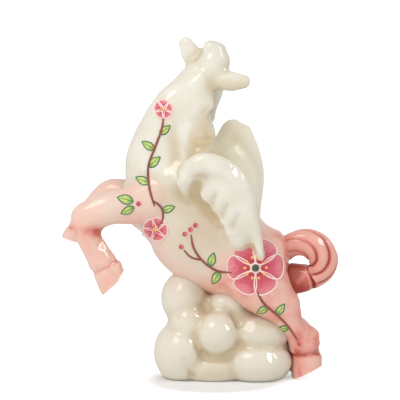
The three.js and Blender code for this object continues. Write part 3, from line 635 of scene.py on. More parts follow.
def paint(piece, name, values):
    layer = piece.data.attributes.new(name, "FLOAT", "POINT")
    layer.data.foreach_set("value", np.asarray(values, np.float32))


def hollows(points, normals, edges, reach, full):
    """1 where a surface lies at least full mm under its own blurred shape, 0 where it bulges."""
    return np.clip(((blurred(points, edges, reach) - points) * normals).sum(1) / full, 0, 1)


print("a rise from 0 to 2 is", rise(np.array(1.0), 0, 2), "half way")

# %% Spray the horse
x, y, z = skin.T
belly = (0.38 + 0.18 * rise(x, -15, 10)) * rise(under, 0.3, 1.0)
rump = 0.62 * rise(0.7 * x - 0.7 * z, -45, -25)
blush = np.zeros(len(skin))
sprayed = (
    (("trunk",), np.maximum(belly, rump)),
    (("neck",), 0.22 * rise(-z, -100, -86)),
    (("near_foreleg",), 0.32 + 0.16 * rise(along, 0.3, 0.6)
     + 0.14 * rise(under, 0.2, 1) * rise(-along, -0.5, -0.2)),
    (("far_foreleg",), 0.54 - 0.1 * rise(along, 0.2, 0.5)),
    (("near_hind_leg", "far_hind_leg"), 0.66 + 0.2 * rise(along, 0.35, 0.8)),
    (("near_foreleg_hoof", "far_foreleg_hoof"), np.full(len(skin), 0.48)),
    (("near_hind_leg_hoof", "far_hind_leg_hoof"), np.full(len(skin), 0.58)),
)
for starts, amount in sprayed:
    blush = np.where(belongs(*starts), amount, blush)
blush = blurred(blush, horse_edges, 22)
for leg in HOOVES:
    blush += 0.36 * coronet_band(leg, 1.0)
print("mean blush as sprayed:", round(float(blush.mean()), 2))

# %% Brush in the lines
BRUSHED = {  # line on the near side, half width in mm and how much stronger or paler
    "belly fold": (BELLY_FOLD, 1.6, 0.35),
    "front of the thigh": ([(9, -17, 46.9), (15, -19, 41.8), (23, -20.5, 36), (31, -21, 31), (38, -20, 29.4)],
                           1.4, 0.3),
    "knee": ([(-62, -17, 77.3), (-56, -22.5, 76), (-51, -21, 75), (-48.5, -16, 74.6)], 3.2, 0.36),
    "back of the knee": ([(-51, -20, 75), (-49, -16, 74.8)], 2.4, 0.4),
    "elbow": ([(-33, -17, 83), (-28, -18.5, 80), (-24, -18, 75)], 6, 0.2),
    "tail root": ([(41.5, -9, 71.7), (44, -10, 65.7), (44.5, -11, 58.6)], 3, 0.25),
    "hind cannon": ([(40.5, -15, 27.5), (44, -15, 20), (46, -14, 14)], 3.4, -0.25),
    "hind coronet": ([(47.5, -16, 14.4), (52, -17, 14.4), (57, -14, 15), (60, -9, 14)], 1.8, 0.3),
    "hind toe": ([(48.6, -17, 5.6), (49.2, -17, 2.4)], 2.2, 0.42),
    "hind fetlock": ([(56, -14, 25), (57.5, -13, 20), (58.5, -12, 17)], 3, 0.12),
}
for across in MIRROR.values():
    for line, width, amount in BRUSHED.values():
        blush += amount * bell(nearness(skin, np.array(line) * across), width)
IVORY_BLUSH = 0.032  # the least blush anywhere; the far wing gets less, most on its left, as painted light where the neck and near wing shade it
least = IVORY_BLUSH * (1 - blurred(belongs("far_wing") * (1 - 0.35 * rise(x, 20, 29)), horse_edges, 10))
blush = np.clip(blush, least, 1)
# Painted shadow on the barrel under the wings, on both sides: a little more pink here, and darker glaze colour
# below.
painted_wing_shadow = belongs("trunk") * bell(x - 2, 17) * bell(z - 75, 15) * rise(np.abs(y), 10, 17)
blush += 0.1 * blurred(painted_wing_shadow, horse_edges, 8)
paint(horse, "blush", blush)
print("mean blush with the lines:", round(float(blush.mean()), 2))

# %% Let the glaze pool, and paint shade
PAINTED_SHADE_AND_LIGHT = {  # line, half width in mm and how much painted shade; a negative amount is painted light
    # Painted shade in the mane's hollows, behind the shoulder, at the wing root and under the near ear; the
    # raised strand gets painted light.
    "under the mane tip": ([(3.8, -13, 133), (2.6, -14, 128), (3.2, -14.6, 122.5)], 4.4, 0.7),
    "mane ripples": ([(-4, -15, 119), (0, -15.6, 118.4), (6, -15, 119)], 4, 0.6),
    "between strands": ([(-3.4, -15, 124), (-4, -15.4, 118), (-3.6, -15.6, 113)], 3.4, 0.45),
    "mane rim": ([(-14.4, -13, 125), (-13.4, -14, 119), (-12.8, -15, 112)], 3.2, 0.55),
    "raised strand": (RAISED_STRAND, 2.4, -0.5),
    "behind the shoulder": ([(-13, -19, 90), (-8, -19, 86), (0, -20, 83)], 8, 0.5),
    "wing root": ([(-2.6, -20, 102), (-1.6, -19, 98), (-1.4, -19, 94)], 3, 0.5),
    "under the near ear": ([(6, -10, 146.6), (12, -11, 146.4), (20, -12, 146.4)], 4.5, 0.6),
}
# Deeper glaze where the skin lies in hollows, then the painted shade and light from the lines above.
pool_and_shade = blurred(hollows(skin, facing, horse_edges, 30, 1.6), horse_edges, 3)
pool_and_shade *= 1 - 0.7 * belongs("trunk", "near_hind_leg", "far_hind_leg") * rise(under, 0.3, 0.8)
for line, width, amount in PAINTED_SHADE_AND_LIGHT.values():
    pool_and_shade += amount * bell(nearness(skin, line), width)
# Painted shade over the whole head, which faces away from the lamps.
pool_and_shade += 0.1 * blurred(1.0 * belongs("head"), horse_edges, 6)
paint(horse, "pool_and_shade", np.clip(pool_and_shade, 0.55 * blurred(painted_wing_shadow, horse_edges, 12), 1))
print("mean pool", round(float(pool_and_shade.mean()), 3))

# %% Let the horse stand for its solids
HORSE_NODES = ["body_shell", "neck", "head", "forelock", "near_ear", "far_ear", "mane_upper_lock",
               "mane_lower_lock", "mane_far_lock", "near_foreleg", "far_foreleg", "near_hind_leg",
               "far_hind_leg", "near_wing_arm", "near_wing_feathers", "far_wing_arm", "far_wing_feathers"]
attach(horse, "root")
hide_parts(*HORSE_NODES)
print("the skin stands for", len(HORSE_NODES), "solids")

# %% [markdown]
# ## The cloud mound
# The mound is a heap of round puffs cast as three pieces. We make each puff as an ellipsoid, fuse them and
# shrink the skin back as for the horse, so the valleys fill as soft as glazed clay. Then three creases are
# drawn with the wooden point, and three flats are patted for the lamps to show in.

# %% Puffs
PUFFS = [  # centre and half axes in mm
    (-9.4, -6, 13, 13.8, 18.2, 15.8), (7, -6, 6, 19, 16.5, 10.4), (28.6, -9, 8.6, 17.6, 17, 11.8),
    (-8, 9, 11, 14, 17, 14.4), (10, 12, 9, 15, 14.5, 11.6), (29.6, 10, 10.4, 16.2, 15.5, 12.6),
    (10, 0, 12, 20, 18, 13),
    (-8, -1, 39.4, 11.6, 15, 13.6), (-5.4, -4.6, 27, 11, 15, 13), (8.4, -12.6, 23.2, 11.6, 12.4, 11.4),
    (13.4, -5, 36, 10, 10, 8.6), (29.4, -5.6, 22.4, 16, 15.2, 10.8), (8, 11, 26, 13.5, 12.5, 13.4),
    (26, 9.5, 23, 15.5, 13.5, 11), (17, 0, 27, 15, 15, 12)]


def puff(x, y, z, rx, ry, rz, grow=0.0, around=40, down=28):
    turn, angle = np.meshgrid(np.linspace(0.03, math.pi - 0.03, down), np.arange(around) * 2 * math.pi / around,
                              indexing="ij")
    ball = np.stack([np.sin(turn) * np.cos(angle), np.sin(turn) * np.sin(angle), np.cos(turn)], -1)
    shell = ball * (rx + grow, ry + grow, rz + grow) + (x, y, z)
    shell[..., 2] = np.maximum(shell[..., 2], -grow)
    return shell


CLOUD_VOXEL, VALLEY = 0.8, 1.2
cloud = fuse("cloud_glazed_skin", [puff(*size, VALLEY) for size in PUFFS], CLOUD_VOXEL)
mound, cloud_edges = shrink(cloud, VALLEY, steps=6, rounds=5)
mound[:, 2] = np.maximum(mound[:, 2], 0)
print("cloud skin:", len(mound), "points")

# %% Creases, flats and pools on the cloud
CREASES = {
    "under the middle puff": [(-1.5, -20.2, 18.2), (0.5, -19.1, 14.5), (4, -19.7, 11.6), (8.4, -20.5, 10.7),
                              (12.9, -19.2, 11.5)],
    "left foot": [(-7.9, -23.9, 11.8), (-6, -22.3, 7.5), (-4, -18.7, 2.8)],
    "above the middle puff": [(18.4, -17, 27.7), (16.4, -14.4, 32.8), (12.9, -14.9, 36.4)],
}
for line in CREASES.values():
    mound = groove(mound, normals_of(cloud), line, 1.4, 0.9)
CLOUD_FLATS = {
    "right foot": ((34.4, -23.4, 13), UP_RIGHT, 2.6, 2),
    "middle puff": ((13.6, -22.8, 27.2), UP_RIGHT, 1.6, 1.6),
    "right shoulder": ((24.8, -17.9, 27.9), UP_LEFT, 3.4, 1.5),
}
for flat in CLOUD_FLATS.values():
    mound = pat(mound, *flat)
mound = inside(mound)
move_points(cloud, mound)
# Painted shade on the middle of the foot, on the right shoulder under the belly and behind the left puffs; it
# adds to the glaze that pools in the hollows.
CLOUD_PAINTED_SHADE = {
    "middle of the foot": ([(2, -22, 4), (12, -22, 6)], 7),
    "right shoulder": ([(26, -18, 29), (36, -16, 27)], 6),
    "behind the left puffs": ([(-4, -14, 44), (-3, -15, 34)], 6),
}
cloud_pool_and_shade = blurred(hollows(mound, normals_of(cloud), cloud_edges, 40, 1.0), cloud_edges, 3)
for line, width in CLOUD_PAINTED_SHADE.values():
    cloud_pool_and_shade += 0.45 * bell(nearness(mound, line), width)
paint(cloud, "pool_and_shade", cloud_pool_and_shade)
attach(cloud, "root")
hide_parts("cloud_base", "cloud_column", "cloud_crest")
print("mean pool on the cloud", round(float(cloud_pool_and_shade.mean()), 3))

# %% [markdown]
# ## The tail
# The tail is a rope of thick strands that leaves the rump, turns over and comes back to the thigh. The grooves
# between strands are cut deep and take the darkest coral. It is one sweep whose radius rises and falls round
# the section, and the rise turns slowly along the rope. A band ends the strands, and past it the smooth tip is
# dark red, partly its own colour and partly painted shade, with one painted highlight streak and a painted
# highlight along the band. Fusing it would blunt the grooves, so it stays apart.

# %% Strands
TAIL = [(40, 0, 62.2, 12, 12), (46.6, -0.6, 66.4, 12.6, 13), (53.2, -1.6, 67.4, 14.4, 14.4),
        (58.6, -2, 64.8, 15.6, 15), (61.6, -1.8, 59.8, 15.8, 15), (61, -1, 54.4, 14, 14.6),
        (57.6, 0, 50.6, 12.6, 14), (52.4, 1.2, 49.2, 14.4, 14), (46.6, 2, 48.6, 16.4, 13.8)]
STRANDS, TURNS, GROOVE_DEPTH = 6, 3.2, 0.16
BAND_START, BAND = 0.76, 0.82  # parts of the rope's length
AROUND, ALONG, CAP = 120, 200, 12


def between_strands(angle, part):
    return 1 - np.abs(np.cos((STRANDS * angle + 2 * math.pi * TURNS * part) / 2))


def bowed(angle, part):
    """The part of the rope, counted so that its last band bows forwards on both cheeks."""
    return part + 0.05 * np.abs(np.sin(angle))


def strand_relief(angle, part):
    end = bowed(angle, part)
    cut = GROOVE_DEPTH * (0.3 + 0.7 * rise(part, 0.15, 0.5)) * (1 - rise(end, BAND_START, BAND))
    return 0.985 - cut * between_strands(angle, part) ** 1.4 - 0.07 * bell(end - BAND, 0.018)


rope = sweep(TAIL, (4, 4), around=AROUND, along=ALONG, cap=CAP, relief=strand_relief)
rope_points = inside(pat(rope.reshape(-1, 3), (60.3, -7.8, 69.1), UP_RIGHT, 2.6))
tail = add_piece("tail_strands", rope_points, tube_faces(*rope.shape[:2]))
tail.data.shade_smooth()
print("tail:", len(tail.data.vertices), "points")

# %% Paint the tail
angle = (np.arange(AROUND) * 2 * math.pi / AROUND)[None]
part = np.clip((np.arange(ALONG + 2 * CAP + 1) - CAP) / ALONG, 0, 1)[:, None]
end = bowed(angle, part)
cuts = between_strands(angle, part) ** 2 * (0.35 + 0.65 * rise(part, 0.15, 0.5))
cuts = cuts * (1 - rise(end, BAND_START, BAND))
cuts += 0.6 * bell(end - 0.81, 0.015) + 0.2 * (1 - rise(part, 0.04, 0.3))
paint(tail, "groove", cuts.ravel())
PAINTED_HIGHLIGHT_STREAK = [(49, -5, 47.6), (51, -6, 50.6), (53.6, -5.6, 53.4)]
# The tip darkens as its own deeper red and as painted shade; the lighter line past the band and the streak are
# painted highlights.
tips = 0.8 * rise(end, 0.78, BAND) + 0.35 * rise(end, 0.86, 0.98) - 0.5 * bell(end - 0.84, 0.012)
tips -= 0.5 * bell(nearness(rope_points, PAINTED_HIGHLIGHT_STREAK), 1.8).reshape(end.shape)
tips = np.clip(tips, 0, 1)
paint(tail, "tip", tips.ravel())
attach(tail, "root")
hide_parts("tail")
print("mean groove paint", round(float(cuts.mean()), 2), "and tip paint", round(float(tips.mean()), 2))

# %% [markdown]
# ## Raised decoration
# The painter trails lines of thick coloured slip on the clay and fills the shapes between them with enamel,
# so stems and outlines stand a few tenths of a millimetre proud. The design is a plain sprig pattern: a leafy
# branch on the neck, a blossom on the shoulder, a berry sprig on the barrel and a wild rose round the stone.
# We draw it flat in the side view and lay it on the skin by casting rays, as a transfer is laid on a pot.

# %% The surfaces to lay it on
def surface_of(piece):
    faces = [tuple(face.vertices) for face in piece.data.polygons]
    return BVHTree.FromPolygons(points_of(piece).tolist(), faces)


BARE_FORMS, BARE_VOXEL = ("trunk", "neck", "near_foreleg", "far_foreleg", "near_hind_leg", "far_hind_leg"), 0.9
bare = fuse("bare_body", [shell for name, shell in cast(FILLET).items() if name in BARE_FORMS], BARE_VOXEL)
shrink(bare, FILLET)
bare_surface, skin_surface = surface_of(bare), surface_of(horse)
bpy.data.objects.remove(bare)
SIDE_VIEW = {hand: (np.zeros(3), np.array((1.0, 0, 0)), np.array((0, 0, 1.0)), np.array((0, -hand, 0.0)))
             for hand in (NEAR, FAR)}


def lay(flat, view, surface):
    """Lay flat places on a surface, looking along the view's last axis: points, and the way the skin faces."""
    origin, right, up, look = view
    points, normals = [], []
    for a, b in flat:
        start = origin + right * a + up * b
        point, normal, _, _ = surface.ray_cast(start - look * 60, look)
        if point is None:
            point, normal, _, _ = surface.find_nearest(start - look * 15)
        close, tilt, _, gap = skin_surface.find_nearest(point)
        point, normal = (close, tilt) if gap < 1.2 else (point, normal)
        points.append(point)
        normals.append(normal)
    return np.array(points), np.array(normals)


print("laying on", len(BARE_FORMS), "castings")

# %% Outlines of leaves, petals and dots
OUTLINES = {
    "leaf": lambda part: np.sin(math.pi * part**0.8) ** 0.9,
    "petal": lambda part: part**0.55 * np.sqrt(1 - part**5) * 1.15,
    "round": lambda part: 2 * np.sqrt(part * (1 - part)),
}


def heading(angle):
    """The flat direction at an angle in degrees."""
    return np.array((math.cos(math.radians(angle)), math.sin(math.radians(angle))))


def turned(local, place, angle):
    return local @ np.array((heading(angle), heading(angle + 90))) + place


def pad_shape(kind, length, width, rows, columns):
    """A grid over a leaf, petal or dot, its dome (0 on the edge) and how far along it each point lies."""
    part = (1 - np.cos(np.linspace(0, math.pi, rows))) / 2
    across = np.linspace(-1, 1, columns)
    half = OUTLINES[kind](part) * width / 2
    local = np.stack(np.broadcast_arrays(part[:, None] * length, half[:, None] * across), -1)
    if kind == "petal":
        local[..., 0] -= 0.1 * length * part[:, None] ** 3 * bell(across, 0.35)
    edge = np.minimum(1, 7 * np.minimum(part, 1 - part))
    dome = np.sqrt(np.maximum(edge[:, None] * (1 - across**2), 0))
    return local, dome, np.broadcast_to(part[:, None], dome.shape)


print("outlines:", ", ".join(OUTLINES))

# %% Pads of enamel
SINK = 0.06


def pad(kind, place, angle, length, width, height, view, surface, lift=0.0):
    """A closed pad of enamel: points, faces and how far along each point lies."""
    rows, columns = (9, 7) if kind == "round" else (22, 11)
    local, dome, part = pad_shape(kind, length, width, rows, columns)
    flat = turned(local.reshape(-1, 2), np.array(place, float), angle)
    points, normals = lay(flat, view, surface)
    dome = dome.reshape(-1, 1)
    top = points + normals * (lift + height * dome - SINK)
    bottom = points - normals * (SINK + 0.25 * dome)
    grid = np.arange(rows * columns).reshape(rows, columns)
    quads = np.stack([grid[:-1, :-1], grid[1:, :-1], grid[1:, 1:], grid[:-1, 1:]], -1).reshape(-1, 4)
    faces = quads.tolist() + (quads[:, ::-1] + rows * columns).tolist()
    rim = np.concatenate([grid[0, :-1], grid[:-1, -1], grid[-1, :0:-1], grid[:0:-1, 0]])
    faces += [[a, b, b + grid.size, a + grid.size] for a, b in zip(rim, np.roll(rim, -1))]
    return np.vstack([top, bottom]), faces, np.tile(part.reshape(-1), 2)


print("pads sink", SINK, "mm into the clay")

# %% Lines of slip
def slip_line(line, radius, view, surface, closed=False, lift=0.15, spacing=0.55):
    """A trailed line of slip along flat places, thinner at its ends unless it is closed."""
    line = np.array(line, float)
    line = np.vstack([line, line[:2]]) if closed else line
    length = np.linalg.norm(np.diff(line, axis=0), axis=1).sum()
    part = np.linspace(0, 1, max(12, int(length / spacing)))
    flat = smooth_line(np.pad(line, ((0, 0), (0, 1))), part)[:, :2]
    points, normals = lay(flat, view, surface)
    ahead = unit(np.gradient(points, axis=0))
    normals = unit(normals - ahead * (normals * ahead).sum(1, keepdims=True))
    across = np.cross(ahead, normals)
    thin = 1.0 if closed else 0.45 + 0.55 * np.sqrt(np.clip(5 * np.minimum(part, 1 - part), 0, 1))
    size = (radius * thin * np.ones(len(part)))[:, None, None]
    angle = (np.arange(8) * math.pi / 4)[None, :, None]
    rings = points[:, None] + normals[:, None] * size * (np.cos(angle) + lift)
    rings = rings + across[:, None] * size * np.sin(angle)
    return rings.reshape(-1, 3), tube_faces(len(part), 8), np.repeat(part, 8)


def edge_line(kind, place, angle, length, width):
    """The outline of a pad as flat places, once round."""
    local, _, _ = pad_shape(kind, length, width, 14, 3)
    return turned(np.vstack([local[:, 0], local[-2:0:-1, 2]]), np.array(place, float), angle)


print("a leaf outline has", len(edge_line("leaf", (0, 0), 0, 7, 3.5)), "places")

# %% [markdown]
# ## The sprig pattern
# Each shape goes to the heap of its colour, and each heap becomes one piece, because one colour is fired as
# one layer. Places are millimetres in the side view: x towards the tail, z up.

# %% Leaves, petals, blossoms and berries
LEAF_WIDTH, BERRY_HEIGHT = 0.52, 0.3  # parts of the leaf's length and the berry's width
PETAL_WIDTH = 0.9625  # a part of the gap between the tips of neighbouring petals
heaps = {}


def drop(colour, made):
    heaps.setdefault(colour, []).append(made)


def leaf(place, angle, length, view):
    width = LEAF_WIDTH * length
    drop("leaf", pad("leaf", place, angle, length, width, 0.35, view, bare_surface))
    drop("leaf_line", slip_line(edge_line("leaf", place, angle, length, width), 0.34, view, bare_surface, True))
    tip = np.array(place) + 0.8 * length * heading(angle)
    drop("leaf_line", slip_line([place, (np.array(place) + tip) / 2, tip], 0.2, view, bare_surface, lift=1.2))


def petal(place, angle, length, width, view, lift=0.0):
    drop("petal", pad("petal", place, angle, length, width, 0.4, view, bare_surface, lift))
    outline = edge_line("petal", place, angle, length, width)
    drop("petal_line", slip_line(outline, 0.42, view, bare_surface, True, lift=0.2 + 2 * lift))


def blossom(place, petals, reach, view, first=90, centre=0.0):
    width = PETAL_WIDTH * 2 * reach * math.sin(math.pi / petals)
    for count in range(petals):
        angle = first + count * 360 / petals
        root = np.array(place) + centre * heading(angle)
        petal(root, angle, reach - centre, width, view, 0.12 * (count % 2))


def berries(places, size, colour, view, lift=0.1):
    height = BERRY_HEIGHT * size
    for a, b in places:
        drop(colour, pad("round", (a - size / 2, b), 0, size, size, height, view, bare_surface, lift))


print("a leaf 7 mm long is", round(7 * LEAF_WIDTH, 1), "mm wide")

# %% Lay the pattern on both sides
STEMS = {  # line and radius
    "neck branch": ([(-22.5, 88), (-25, 97), (-25.5, 107), (-22, 117), (-18.8, 126), (-18, 132)], 0.62),
    "shoulder branch": ([(-23.5, 91), (-19, 87), (-18.5, 81), (-21, 77)], 0.55),
    "barrel sprig": ([(16, 55), (9, 55.5), (2, 60), (-3, 67), (-4.5, 74)], 0.62),
    "side shoot": ([(1, 61), (-4.5, 62.5), (-8, 66)], 0.5),
    "leg branch": ([(28, 46), (31.5, 40), (38, 34), (44, 27.5), (48.5, 20.5)], 0.62),
}
LEAVES = [  # root, angle in degrees and length
    ((-25.2, 99), 160, 7), ((-25.4, 107), 40, 7.5), ((-22.6, 115.5), 150, 7), ((-19.8, 123), 40, 6.5),
    ((-18.6, 85.5), 20, 6.5), ((9.5, 55.3), 245, 7.5), ((5, 58), 75, 7), ((33.6, 38), 215, 6.5),
    ((38, 34), 55, 6.5), ((44, 27.5), 205, 6), ((-33, 90.5), 165, 8), ((-32.6, 87.6), 205, 7)]
BERRIES = [(-4.6, 76.4), (-7.4, 74.2), (-2.2, 78.6), (-9.2, 67.6), (49.6, 18.8), (-30.2, 89.4)]
NECK_BLOSSOM, SHOULDER_BLOSSOM, ROSE = (-18, 135), (-22, 76), (27.4, 57.6)
STAMENS = [(ROSE[0] + 5.2 * math.cos(t), ROSE[1] + 5.2 * math.sin(t)) for t in np.arange(10) * math.pi / 5]
for hand in (NEAR, FAR):
    view = SIDE_VIEW[hand]
    for line, radius in STEMS.values():
        drop("stem", slip_line(line, radius, view, bare_surface, lift=0.3))
    for place, angle, length in LEAVES:
        leaf(place, angle, length, view)
    blossom(NECK_BLOSSOM, 5, 4.6, view)
    blossom(SHOULDER_BLOSSOM, 5, 6.2, view, first=70)
    blossom(ROSE, 6, 14, view, first=60, centre=2.2)
    berries([NECK_BLOSSOM], 1.8, "stamen", view, 0.5)
    berries([SHOULDER_BLOSSOM], 2.2, "stamen", view, 0.5)
    berries(STAMENS, 1.5, "stamen", view, 0.5)
    berries(BERRIES, 2.5, "petal", view)
print({colour: len(made) for colour, made in heaps.items()})

# %% [markdown]
# ## Eyes
# The face looks away from the front view, so it only shows from the far side. Each eye is an almond of dark
# enamel under a thin lid line, laid on from the side of the head.

# %% Lay the eyes
for side in (NEAR, FAR):
    view = (on_side(0, *EYE), MUZZLEWARD, FOREHEAD, -EARWARD * side)
    drop("eye", pad("leaf", (-2.2, -0.2), 0, 4.4, 2.7, 0.5, view, skin_surface, 0.1))
    lid = [(-2.9, -0.3), (-1.2, 1.2), (1, 1.2), (2.6, -0.4)]
    drop("stem", slip_line(lid, 0.26, view, skin_surface, lift=0.4))
print(len(heaps["eye"]), "eyes")

# %% Make one piece per colour
decoration = {}
for colour, made in heaps.items():
    points, faces, parts, start = [], [], [], 0
    for shape, sides, part in made:
        points.append(shape)
        parts.append(part)
        faces += [[corner + start for corner in side] for side in sides]
        start += len(shape)
    piece = add_piece("enamel_" + colour, np.vstack(points), faces)
    piece.data.shade_smooth()
    paint(piece, "part", np.concatenate(parts))
    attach(piece, "root")
    decoration[colour] = piece
    print(piece.name, len(piece.data.vertices), "points")

# %% [markdown]
# ## Nodes
# Every finish below is built from nodes. One small function adds a node, sets its sockets or settings and
# links its inputs, so each material reads as a list of steps. Colours are written as sRGB hex, as a painter
# would pick them from a chart, and one function turns them into the linear values the renderer needs.

# %% Helpers: colours and nodes
def linear(hex_code):
    parts = [int(hex_code[k:k + 2], 16) / 255 for k in (1, 3, 5)]
    return (*[p / 12.92 if p <= 0.04045 else ((p + 0.055) / 1.055) ** 2.4 for p in parts], 1.0)


def add(material, kind, settings=None, links=None):
    """Add a node; settings name its sockets or its own settings, links give (node, output) for its inputs."""
    made = material.node_tree.nodes.new("ShaderNode" + kind)
    for name, value in (settings or {}).items():
        if isinstance(name, int) or name in made.inputs:
            made.inputs[name].default_value = value
        else:
            setattr(made, name, value)
    for name, (source, output) in (links or {}).items():
        material.node_tree.links.new(source.outputs[output], made.inputs[name])
    return made


def new_material(name):
    material = bpy.data.materials.new(name)
    material.use_nodes = True
    material.node_tree.nodes.clear()
    return material


print("ivory in linear light:", [round(c, 3) for c in linear("#F3EEDF")[:3]])

# %% Helpers: noise, colour ramps and shine
def noise(material, millimetres, detail):
    """Noise whose features are that many millimetres apart on the piece."""
    place = add(material, "TexCoord")
    return add(material, "TexNoise", {"Scale": 1 / (millimetres * MM), "Detail": detail},
               {"Vector": (place, "Object")})


def coloured(material, source, output, stops):
    """A colour ramp with stops of (place, hex) that reads an output of another node."""
    node = add(material, "ValToRGB", None, {"Fac": (source, output)})
    while len(node.color_ramp.elements) < len(stops):
        node.color_ramp.elements.new(0.5)
    for element, (place, hex_code) in zip(node.color_ramp.elements, stops):
        element.position, element.color = place, linear(hex_code)
    return node


def shiny(material, settings, base, output, mottle=None, rough=None, links=None):
    """A principled surface in a base colour; its roughness may run between two values with the mottling."""
    links = {"Base Color": (base, output), **(links or {})}
    if mottle:
        gloss = add(material, "MapRange", {"To Min": rough[0], "To Max": rough[1]}, {"Value": (mottle, "Fac")})
        links["Roughness"] = (gloss, "Result")
    shader = add(material, "BsdfPrincipled", settings, links)
    add(material, "OutputMaterial", None, {"Surface": (shader, "BSDF")})


print("features 10 mm apart are a noise scale of", round(1 / (10 * MM)))

# %% [markdown]
# ## Glazed porcelain
# Porcelain is fine white clay, fired hard, under a film of clear glaze melted to glass. The eye sees a soft
# ivory depth, a sharp window-like shine and a slightly wavy surface. Colour comes from the sprayed attribute,
# with its painted shade and light, deepened where glaze pools and where shade is painted, with faint mottling
# a few millimetres wide. Glaze is glass: IOR about 1.5 and roughness near 0.1. The waviness is a very low bump
# with features about 14 mm apart.

# %% Clear glaze
PORCELAIN = {"IOR": 1.5, "Subsurface Weight": 0.12, "Subsurface Scale": 1.5 * MM,
             "Subsurface Radius": (1.0, 0.7, 0.5)}
GLOSS, WAVE_SPACING, WAVE_HEIGHT = (0.07, 0.14), 14, 0.6


def wavy_glaze(material, base, output, mottle, strength):
    """Porcelain in a base colour under glaze with low waves."""
    waves = noise(material, WAVE_SPACING, 1.0)
    wavy = add(material, "Bump", {"Strength": strength, "Distance": WAVE_HEIGHT * MM},
               {"Height": (waves, "Fac")})
    shiny(material, PORCELAIN, base, output, mottle, GLOSS, {"Normal": (wavy, "Normal")})


print("waves", WAVE_SPACING, "mm apart")

# %% The horse's glaze
horse_glaze = new_material("porcelain_ivory_sprayed_and_glazed")
blush_value = add(horse_glaze, "Attribute", {"attribute_name": "blush"})
pool_and_shade_value = add(horse_glaze, "Attribute", {"attribute_name": "pool_and_shade"})
speckle = noise(horse_glaze, 10, 4.0)
uneven = add(horse_glaze, "MapRange", {"From Min": 0.3, "From Max": 0.7, "To Min": 0.72, "To Max": 1.24},
             {"Value": (speckle, "Fac")})
spray = add(horse_glaze, "Math", {"operation": "MULTIPLY"}, {0: (blush_value, "Fac"), 1: (uneven, "Result")})
# The palest stop is reached only on the far wing, as painted light.
colour = coloured(horse_glaze, spray, "Value", [
    (0.0, "#FEF5DC"), (0.022, "#EAE6DA"), (0.036, "#E2DCCB"), (0.3, "#EACFBF"), (0.58, "#ECBAA8"),
    (0.8, "#E3988A"), (1.0, "#C45C4E")])
# Deeper glaze and painted shade both darken the colour here.
# A Mix node's colour inputs are sockets 6 and 7 and its colour output is 2.
pooled_and_shaded = add(horse_glaze, "Mix", {"data_type": "RGBA", "blend_type": "MULTIPLY", 7: linear("#E3D3B6")},
             {0: (pool_and_shade_value, "Fac"), 6: (colour, "Color")})
wavy_glaze(horse_glaze, pooled_and_shaded, 2, speckle, 0.28)
horse.data.materials.append(horse_glaze)
print(horse_glaze.name, "has", len(horse_glaze.node_tree.nodes), "nodes")

# %% The cloud's glaze
cloud_glaze = new_material("porcelain_white_glazed")
pool_and_shade_value = add(cloud_glaze, "Attribute", {"attribute_name": "pool_and_shade"})
cloudy = noise(cloud_glaze, 9, 3.0)
depth = add(cloud_glaze, "Math", {"operation": "MULTIPLY_ADD", 1: 0.12, 2: -0.06}, {0: (cloudy, "Fac")})
depth = add(cloud_glaze, "Math", {"operation": "ADD"}, {0: (pool_and_shade_value, "Fac"), 1: (depth, "Value")})
colour = coloured(cloud_glaze, depth, "Value", [(0.0, "#E1DAC9"), (0.4, "#DACFB9"), (0.95, "#CCBB9D")])
wavy_glaze(cloud_glaze, colour, "Color", cloudy, 0.12)
cloud.data.materials.append(cloud_glaze)
print(cloud_glaze.name, "has", len(cloud_glaze.node_tree.nodes), "nodes")

# %% The tail's glaze
tail_glaze = new_material("porcelain_coral_sprayed_and_glazed")
groove_value = add(tail_glaze, "Attribute", {"attribute_name": "groove"})
tip_paint_and_shade_value = add(tail_glaze, "Attribute", {"attribute_name": "tip"})
streaky = noise(tail_glaze, 4, 4.0)
# The tip attribute brings the tip's own deeper red, painted shade and painted highlights.
depth = add(tail_glaze, "Math", {"operation": "MULTIPLY_ADD", 1: 0.62},
            {0: (tip_paint_and_shade_value, "Fac"), 2: (groove_value, "Fac")})
depth = add(tail_glaze, "Math", {"operation": "MULTIPLY_ADD", 1: 0.16},
            {0: (streaky, "Fac"), 2: (depth, "Value")})
colour = coloured(tail_glaze, depth, "Value", [
    (0.05, "#EBB0A0"), (0.3, "#E3998A"), (0.6, "#C9685A"), (1.0, "#8A2C28")])
shiny(tail_glaze, PORCELAIN, colour, "Color", streaky, (0.07, 0.15))
tail.data.materials.append(tail_glaze)
print(tail_glaze.name, "has", len(tail_glaze.node_tree.nodes), "nodes")

# %% [markdown]
# ## Enamel colours
# Overglaze enamel is coloured glass ground to powder and painted on. It looks glassy and streaky: thin where
# the brush lifted, deep where it started. Each colour runs from its root to its tip through the stored part
# number, broken up by streaks a millimetre or two wide.

